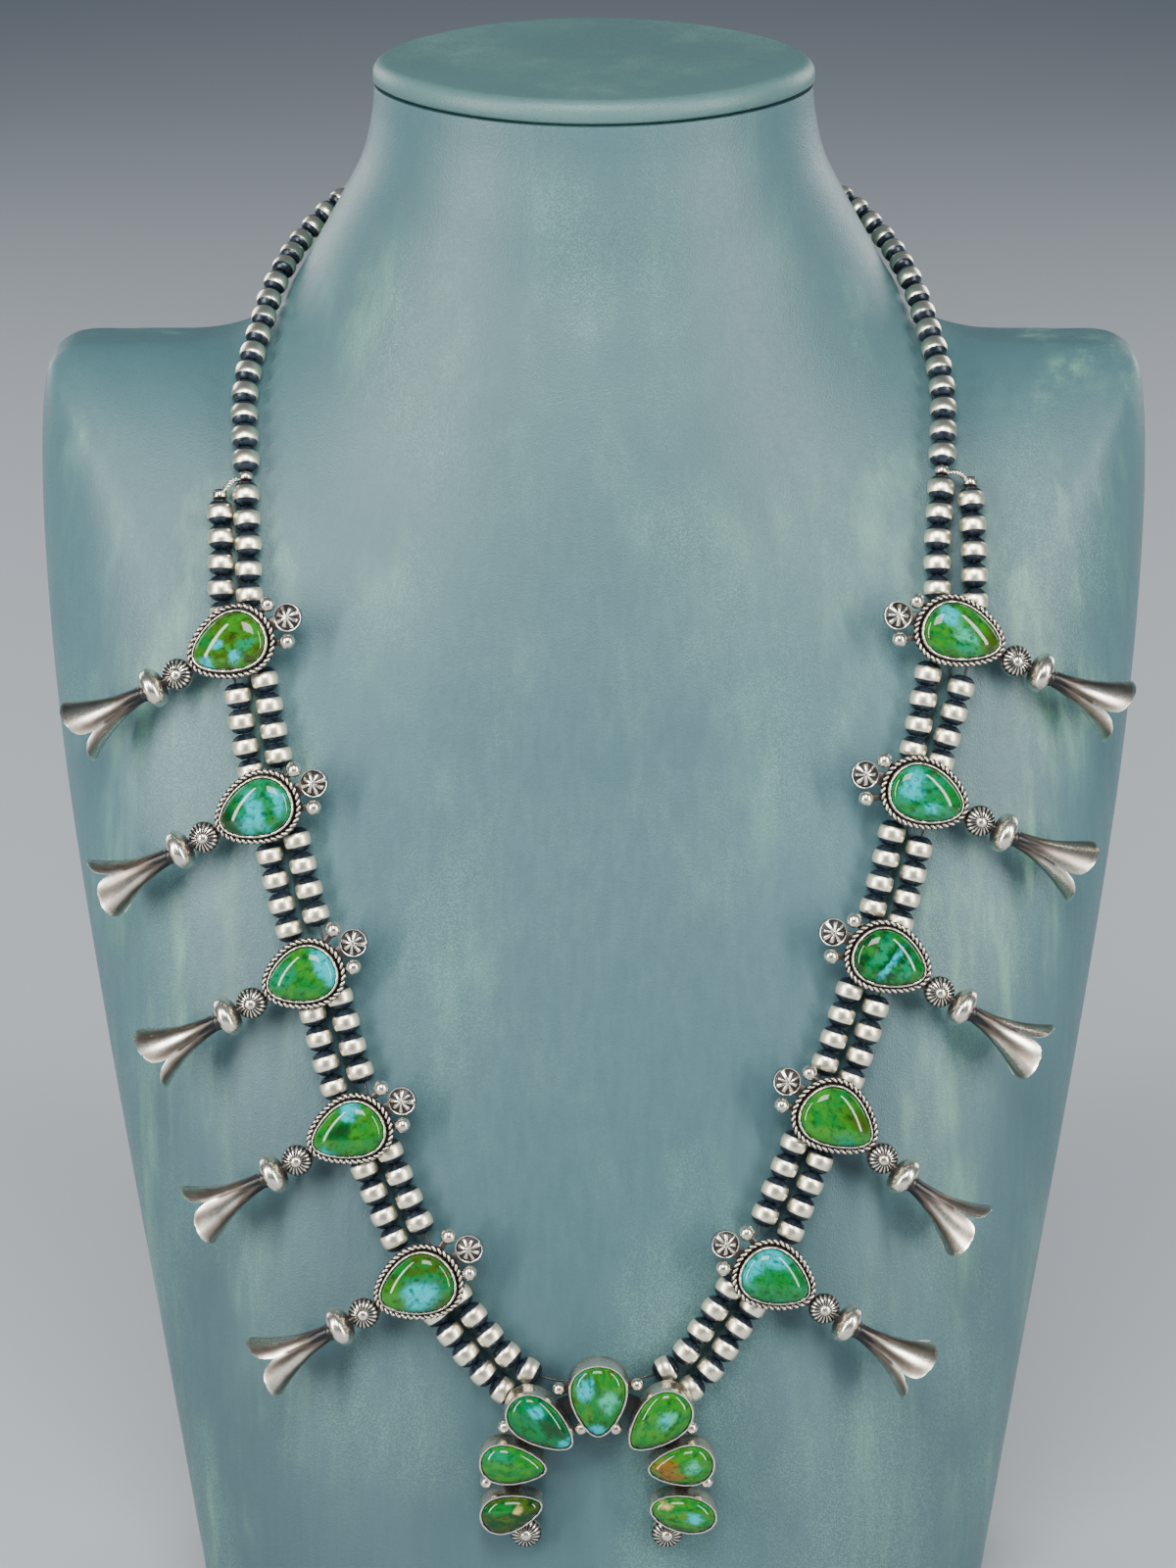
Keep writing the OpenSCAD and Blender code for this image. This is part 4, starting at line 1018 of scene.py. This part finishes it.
def rosette(shape, x, y, d, place):
    """Fluted dome with a plain boss in the middle."""
    radius = d / 2

    def cut(f, angles):
        wave = 0.5 + 0.5 * np.cos(FLUTES * angles)
        return np.clip(wave * 2.6 - 0.9, 0, 1) * np.clip((f - BOSS) * 9, 0, 1)

    def height(f, angles):
        dome = ROSETTE_H * math.sqrt(max(1 - (f * 0.97) ** 2.4, 0))
        boss = 0.5 * math.sqrt(max(1 - (f / BOSS) ** 2, 0))
        return dome * 0.9 + boss - 0.3 * cut(f, angles) * min(1, 3 * (1 - f) + 0.4)

    def tone(f, angles):
        ring = 0.75 if 0.34 < f < 0.42 else 0.0
        return np.maximum(1.2 * cut(f, angles) + (0.25 if f > 0.9 else 0.02), ring)

    relief(shape, x, y, radius * 0.95, height, tone, place, 9 * FLUTES)
    base = [(0.01, 0), (radius, 0), (radius + 0.02, 0.2), (radius + 0.02, PLATE_T - 0.2),
            (radius - 0.1, PLATE_T)]
    shape.turn(base, [0.5, 0.4, 0.2, 0.2, 0.5], 48, place, x, y)


def ball(shape, x, y, d, place):
    r = d / 2
    profile, tones = [], []
    for i in range(BALL_STEPS + 1):
        a = math.pi * i / BALL_STEPS
        profile.append((r * math.sin(a), r - 0.2 - r * math.cos(a)))
        tones.append(max(0.0, 0.9 - 1.9 * i / BALL_STEPS))
    shape.turn(profile, tones, BALL_SIDES, place, x, y)


def strip(shape, a, b, width, top, place, tone=0.75):
    """Flat bar from one point to another."""
    a, b = vec(*a), vec(*b)
    t = unit(b - a)
    n = vec(-t[1], t[0]) * width / 2
    rings = []
    for z, k in ((0, 0.9), (0, 1), (top - 0.1, 1), (top, 0.9)):
        rings.append([(*(a + n * k), z), (*(a - n * k), z), (*(b - n * k), z), (*(b + n * k), z)])
    shape.grid(rings, tone=tone, place=place, caps=True)


def collar(shape, place):
    """Oblate bead between the rosette and the flower, with a fine groove round its middle."""
    half = COLLAR_LONGER * COLLAR_LEN / 2
    profile, tones = [(0.8, -half)], [1.0]
    for i in range(COLLAR_STEPS + 1):
        f = -math.cos(math.pi * i / COLLAR_STEPS)
        groove = 2 * i == COLLAR_STEPS
        r = COLLAR_FULLER * COLLAR_D / 2 * (1 - abs(f) ** 2.4) ** 0.5
        profile.append((max(r, 1.4) - (0.05 if groove else 0), f * half))
        tones.append(max(0.0, abs(f) * 2.4 - 1.7) + (0.25 if groove else 0))
    profile.append((0.8, half))
    tones.append(1.0)
    shape.turn(profile, tones, COLLAR_SIDES, place)


# Half widths of a petal, as shares of the flower's radius, at shares of its length
PETAL_AT = [0, 0.3, 0.52, 0.71, 0.86, 1]
PETAL_HALF = [0.3, 0.34, 0.44, 0.56, 0.64, 0.66]


def petal_tone(f, w, phase):
    """Dark throat and seams, a streaked body and bright worn rims; w goes from -1 to 1 across."""
    throat = max(0.0, 0.7 - 1.5 * f)
    seam = 0.0
    if f < 0.64:
        seam = 0.4 * max(0.0, abs(w) - 0.93) / 0.07 * min(1.0, max(0.0, (f - 0.3) * 6))
    rim = max(0.0, abs(w) - 0.86) / 0.14 if f > 0.6 else 0.0
    rim = min(1.0, max(rim, (f - 0.955) / 0.045))
    body = 0.36 + 0.17 * math.sin(6 * w + phase) * min(1.0, 2 * (1 - f) + 0.3)
    return min(1.0, throat + seam + body * (1 - rim))


def flower(shape, place, turn):
    """Thin trumpet that splits into three broad petals with rounded ends."""
    for k in range(3):
        base = math.radians(turn + 120 * k)
        phase = 2.3 * k + 5 * turn
        outer, inner, tones = [], [], []
        for i in range(PETAL_STEPS + 1):
            f = math.sin(math.pi / 2 * i / PETAL_STEPS)
            r = FLOWER_R * (0.23 + 0.05 * f + 0.72 * f * f)
            half = np.interp(f, PETAL_AT, PETAL_HALF) * FLOWER_R
            if f > CORNER:
                half -= 2.2 * (1 - math.sqrt(max(1 - ((f - CORNER) / (1 - CORNER)) ** 2, 0)))
            spread = min(math.radians(60), math.asin(min(half / r, 1)))
            thin = PETAL_T * (0.8 - 0.3 * f)
            ring_out, ring_in = [], []
            for w in np.linspace(-1, 1, PETAL_ACROSS):
                a = base + w * spread
                c, s = math.cos(a), math.sin(a)
                z = f * FLOWER_LEN - 0.5 * f ** 6 * w * w
                flat = r * (1 - 0.04 * f * w * w)
                ring_out.append((flat * c, flat * s, z))
                ring_in.append(((flat - thin) * c, (flat - thin) * s, z + 0.1 * f))
                tones.append(petal_tone(f, w, phase))
            outer.append(ring_out)
            inner.append(ring_in)
        outer, inner = np.array(outer), np.array(inner)
        shape.grid(outer, tone=tones, place=place, round_=False)
        shape.grid(inner, tone=np.clip(np.array(tones) + 0.3, 0, 1), place=place, round_=False, flip=True)
        for edge, flip in ((0, True), (-1, False)):
            shape.grid(np.stack([outer[:, edge], inner[:, edge]], 1), place=place, round_=False, flip=flip)
        shape.grid(np.stack([outer[-1], inner[-1]]), place=place, round_=False)
    r = FLOWER_R * 0.24
    foot = [(0.3, 0), (r + 0.15, 0), (r + 0.2, 0.7), (r + 0.05, 1.0), (0.3, 1.1)]
    shape.turn(foot, 0.8, 24, place)


def thread_tube(shape, u, out, plate):
    """Tube on the back of a plate for a thread, with the web that carries it."""
    p, t, n = thread_point(u, out), thread_way(u, out), up_from(u)
    z = plate[:3, 2]
    middle = plate[:3, 3] + z * PLATE_T / 2
    up = unit(n - t * (t @ n))
    rise = ((middle - p) @ z) / (up @ z)
    hole, half = BEAD_HOLE / 2, TUBE_LEN / 2
    r = hole + TUBE_WALL
    place = along(p, t, n)
    profile = [(hole, -half), (r - 0.1, -half), (r, -half + 0.12), (r, half - 0.12), (r - 0.1, half),
               (hole, half)]
    shape.turn(profile, 0.7, 20, place)
    corners = ((0.9, -r / 2), (0.9, r / 2), (rise, r / 2), (rise, -r / 2))
    web = [[(x, y, end) for x, y in corners] for end in (-half, half)]
    shape.grid(web, tone=0.75, place=place, caps=True)


# The frame of a blossom: origin at the middle of its plate's back, X outward along the blossom, Z up

def blossom_u(i, drop, side):
    return from_naja(run_end(len(RUNS) - 2 - i, side) + BLOSSOM_GAP / 2 - drop, side)


def blossom_frame(u, out, turn, tip, side):
    n, t, o = up_from(u), onward(u), aside(u)
    turn, tip = math.radians(turn), math.radians(tip)
    flat = o * math.cos(turn) + side * t * math.sin(turn)
    x = flat * math.cos(tip) - n * math.sin(tip)
    z = n * math.cos(tip) + flat * math.sin(tip)
    return placed(on_skin(u) + o * out + n * PLATE_H, x, np.cross(z, x), z)


def on_axis(place, x):
    """Frame on a blossom's axis at x, with its Z outward along the blossom."""
    return place @ placed(vec(x, 0, PLATE_T + AXIS_RISE), vec(0, 0, -1), vec(0, 1, 0), vec(1, 0, 0))


def blossom(i, b, side, word):
    """One setting with its plate, buttons, oblate bead, flower and tubes; gives its frame."""
    drop, out, turn, tip, long, wide, narrow, lean, petal_turn, star_y = b
    u = blossom_u(i, drop, side)
    place = blossom_frame(u, out, turn, tip, side)
    outline = pear(long, wide, narrow, lean)
    rope_out = BEZEL_WALL + STONE_GAP + CHANNEL + ROPE_D / 2
    edge = long / 2 + rope_out
    star_x = -(edge + STAR_D / 2 + STAR_OUT)
    ball_x = -(edge + BALL_PAST)
    rosette_x = edge + ROPE_D / 2 + ROSETTE_D / 2 + ROSETTE_OUT
    collar_x = rosette_x + ROSETTE_D / 2 + COLLAR_LEN / 2 + COLLAR_OUT
    s = Shape()
    flat_plate(s, grown(outline, rope_out + 0.2 * ROPE_D), place, 0.9)
    bezel(s, outline, BEZEL_H, place)
    rope(s, grown(outline, rope_out), PLATE_T + ROPE_D * ROPE_SEAT, place)
    strip(s, (star_x, star_y), (-long / 3, 0), TONGUE, PLATE_T * 0.95, place)
    strip(s, (edge - 2, 0), (rosette_x, 0), TONGUE, PLATE_T * 0.95, place)
    star_button(s, star_x, star_y, place, rng.random() * 0.7)
    base = [(0.01, 0), (STAR_D / 2, 0), (STAR_D / 2 + 0.02, 0.2), (STAR_D / 2 + 0.02, PLATE_T)]
    s.turn(base, 0.4, 40, place, star_x, star_y)
    for y in (-BALL_OUT, BALL_OUT):
        strip(s, (ball_x, star_y + y), (-long / 4, y / 2), TONGUE / 2, PLATE_T * 0.9, place)
        ball(s, ball_x, star_y + y, BALL_D, place)
    rosette(s, rosette_x, 0, ROSETTE_D, place)
    s.turn([(1, 0), (1, collar_x - rosette_x + COLLAR_LEN / 2 + 1)], 0.8, 20, on_axis(place, rosette_x))
    collar(s, on_axis(place, collar_x))
    flower(s, on_axis(place, collar_x + COLLAR_LEN / 2 - 0.1), petal_turn)
    for strand in (0, STRAND_GAP):
        thread_tube(s, u, strand, place)
    s.make(f"squash_{word}_{i + 1}", SILVER, f"blossom_{word}_{i + 1}", angle=60)
    return place


# Stones

GREEN = (0.002, 0.12, 0.017)
LIME = (0.022, 0.155, 0.009)
OLIVE = (0.028, 0.065, 0.004)
JADE = (0.0, 0.1, 0.035)
TEAL = (0.0, 0.155, 0.065)
SKY = (0.0, 0.33, 0.37)
PALE = (0.025, 0.33, 0.2)
DEEP = (0.002, 0.035, 0.008)
BROWN = (0.045, 0.015, 0.005)
GOLD = (0.15, 0.07, 0.008)
CREAM = (0.42, 0.34, 0.12)

# Base, deep, patches (x, y, reach x, reach y, colour, softness) in half lengths, matrix, how many
# specks and how strong the veins
LEFT_LOOKS = [
    (LIME, OLIVE, [(0.15, -0.1, 0.13, 0.16, SKY, 0.5), (-0.5, 0.35, 0.2, 0.18, TEAL, 0.5),
        (0.75, 0.3, 0.14, 0.22, SKY, 0.5), (0.45, -0.45, 0.2, 0.22, GREEN, 0.5),
        (-0.1, 0.55, 0.17, 0.16, SKY, 0.5)], BROWN, 0.6, 0.6),
    (TEAL, GREEN, [(-0.05, 0.05, 0.17, 0.62, SKY, 0.5), (-0.72, 0.1, 0.14, 0.4, SKY, 0.5),
        (0.35, 0.35, 0.18, 0.3, SKY, 0.5), (0.8, 0.0, 0.3, 0.6, DEEP, 0.6)], BROWN, 0.7, 0.5),
    (GREEN, LIME, [(-0.82, 0.1, 0.2, 0.8, SKY, 0.5), (0.5, -0.3, 0.4, 0.3, TEAL, 0.6)],
        BROWN, 0.55, 0.1),
    (GREEN, LIME, [(-0.4, -0.65, 0.22, 0.26, SKY, 0.5), (0.88, 0.35, 0.22, 0.25, SKY, 0.5),
        (0.1, -0.2, 0.3, 0.25, DEEP, 0.6)], BROWN, 0.5, 0.3),
    (OLIVE, GREEN, [(0.05, 0.3, 0.5, 0.4, SKY, 0.35), (0.7, -0.1, 0.3, 0.45, LIME, 0.6)],
        BROWN, 0.5, 0.3)]
RIGHT_LOOKS = [
    (LIME, GREEN, [(0.05, -0.05, 0.28, 0.2, PALE, 0.8), (-0.5, 0.3, 0.22, 0.25, SKY, 0.45),
        (0.2, -0.5, 0.3, 0.22, TEAL, 0.6), (0.8, 0.2, 0.28, 0.55, OLIVE, 0.5)], BROWN, 0.55, 0.6),
    (TEAL, GREEN, [(-0.5, 0.1, 0.22, 0.5, SKY, 0.6), (0.2, -0.35, 0.16, 0.16, SKY, 0.5),
        (0.6, 0.35, 0.35, 0.35, GREEN, 0.5)], BROWN, 0.65, 0.5),
    (DEEP, GREEN, [(-0.38, 0.0, 0.11, 0.6, TEAL, 0.5), (0.05, -0.1, 0.11, 0.55, SKY, 0.55),
        (0.45, 0.05, 0.12, 0.4, TEAL, 0.5)], GOLD, 0.45, 0.3),
    (LIME, GREEN, [(0.35, 0.45, 0.4, 0.3, OLIVE, 0.6), (0.6, -0.45, 0.35, 0.25, TEAL, 0.5)],
        BROWN, 0.35, 0.4),
    (TEAL, GREEN, [(-0.45, 0.6, 0.4, 0.26, SKY, 0.5), (-0.8, -0.1, 0.15, 0.45, SKY, 0.5),
        (0.1, 0.0, 0.35, 0.4, GREEN, 0.6)], BROWN, 0.6, 0.3)]
NAJA_LOOKS = [
    ("centre", GREEN, LIME, [(-0.45, -0.45, 0.26, 0.24, SKY, 0.5), (0.9, 0.0, 0.2, 0.35, SKY, 0.5),
        (0.25, 0.25, 0.3, 0.25, GREEN, 0.6), (-0.1, 0.4, 0.25, 0.25, PALE, 0.6)], BROWN, 0.4, 0.7),
    ("left_top", JADE, GREEN, [(-0.35, 0.45, 0.2, 0.25, SKY, 0.45), (0.85, 0.0, 0.16, 0.35, SKY, 0.6),
        (0.3, 0.3, 0.3, 0.3, DEEP, 0.6)], DEEP, 0.3, 0.5),
    ("left_middle", GREEN, LIME, [(-0.5, 0.5, 0.35, 0.25, TEAL, 0.6)], DEEP, 0.2, 0.2),
    ("left_bottom", DEEP, OLIVE, [(0.3, 0.25, 0.14, 0.2, CREAM, 0.45),
        (-0.3, 0.5, 0.4, 0.25, GREEN, 0.5)], BROWN, 0.5, 0.4),
    ("right_top", LIME, GREEN, [(-0.25, 0.05, 0.22, 0.24, PALE, 0.6), (-0.25, 0.0, 0.1, 0.14, SKY, 0.6)],
        OLIVE, 0.3, 0.2),
    ("right_middle", LIME, GREEN, [(0.5, -0.1, 0.3, 0.4, GOLD, 0.5), (0.25, 0.4, 0.3, 0.22, GOLD, 0.6),
        (-0.4, 0.0, 0.2, 0.3, PALE, 0.6)], BROWN, 0.75, 0.3),
    ("right_bottom", GREEN, LIME, [(-0.35, 0.0, 0.2, 0.3, SKY, 0.5), (0.6, -0.4, 0.14, 0.14, CREAM, 0.5)],
        GOLD, 0.5, 0.5)]

# Angles up a stone's dome where its rings lie
DOME_ANGLES = (0.5, 4, 9, 15, 22, 30, 38, 46, 54, 62, 70, 78, 84, 89)


def cabochon(name, node, look, outline_of, wall, place, seed):
    """Domed stone in its setting. Its spot is in half lengths and half widths."""
    base, deep, patches, matrix, specks, veins = look
    material = turquoise(name, base, deep, patches, matrix, seed, specks, veins)
    halves = vec(*outline_of[:2]) / 2
    p = pear(*outline_of, sides=STONE_SIDES)
    rim_z = PLATE_T + wall * 0.85
    levels = [(0.97, PLATE_T + STONE_GAP), (1, PLATE_T + STONE_GAP + 0.2), (1, rim_z - 0.2)]
    for a in map(math.radians, DOME_ANGLES):
        levels.append((math.cos(a) ** 0.8, rim_z + DOME_H * math.sin(a) ** 0.9))
    rings, spots = [], []
    for f, z in levels:
        rings.append(np.column_stack([p * f, np.full(len(p), z)]))
        spots.append(np.column_stack([p * f / halves, np.full(len(p), z / 20)]))
    s = Shape()
    s.grid(rings, spot=np.array(spots), place=place, caps=True)
    s.make(name, material, node)


for (side, word), table, looks in zip(SIDES, (LEFT, RIGHT), (LEFT_LOOKS, RIGHT_LOOKS)):
    for i, (b, look) in enumerate(zip(table, looks)):
        place = blossom(i, b, side, word)
        cabochon(f"turquoise_{word}_{i + 1}", f"stone_{word}_{i + 1}", look, b[4:8], BEZEL_H, place,
                 3.7 * (i + 1) + 11 * side)

# Naja

naja_middle = thread_point(0, 0)
NAJA_FRAME = placed(vec(0, naja_middle[1] + THREAD_H - PLATE_H, naja_middle[2]), vec(1, 0, 0), vec(0, 0, 1),
                    vec(0, -1, 0))


def stone_frame(x, y, aim):
    c, s = math.cos(math.radians(aim)), math.sin(math.radians(aim))
    return NAJA_FRAME @ placed(vec(x, y, 0), vec(c, s, 0), vec(-s, c, 0), vec(0, 0, 1))


naja = Shape()
for x, y, aim, *size in NAJA_STONES:
    place = stone_frame(x, y, aim)
    outline = pear(*size, 0)
    flat_plate(naja, grown(outline, STONE_GAP + BEZEL_WALL), place)
    bezel(naja, outline, NAJA_BEZEL_H, place, 0.36)
# The bars that join the stones are nearly black (tone 0.95): oxide, and painted shade for where they lie
# deep between the tall bezels.
for i, k in TIES:
    strip(naja, NAJA_STONES[i][:2], NAJA_STONES[k][:2], 4, PLATE_T, NAJA_FRAME, 0.95)
for k, (x, y) in enumerate(NAJA_ROSETTES):
    strip(naja, NAJA_STONES[3 + 3 * k][:2], (x, y), 2, PLATE_T, NAJA_FRAME)
    rosette(naja, x, y, NAJA_ROSETTE_D, NAJA_FRAME)
for (x, y), k in zip(NAJA_BALLS, BALL_STONES):
    strip(naja, (x, y), NAJA_STONES[k][:2], 2, PLATE_T * 0.9, NAJA_FRAME)
    ball(naja, x, y, NAJA_BALL_D, NAJA_FRAME)
for out in (0, STRAND_GAP):
    thread_tube(naja, 0, out, NAJA_FRAME)
naja.make("naja_setting", SILVER, "naja", angle=60)

for k, ((word, *look), (x, y, aim, *size)) in enumerate(zip(NAJA_LOOKS, NAJA_STONES)):
    cabochon(f"turquoise_naja_{word}", f"naja_stone_{word}", look, (*size, 0), NAJA_BEZEL_H,
             stone_frame(x, y, aim), 5.3 * (k + 1))
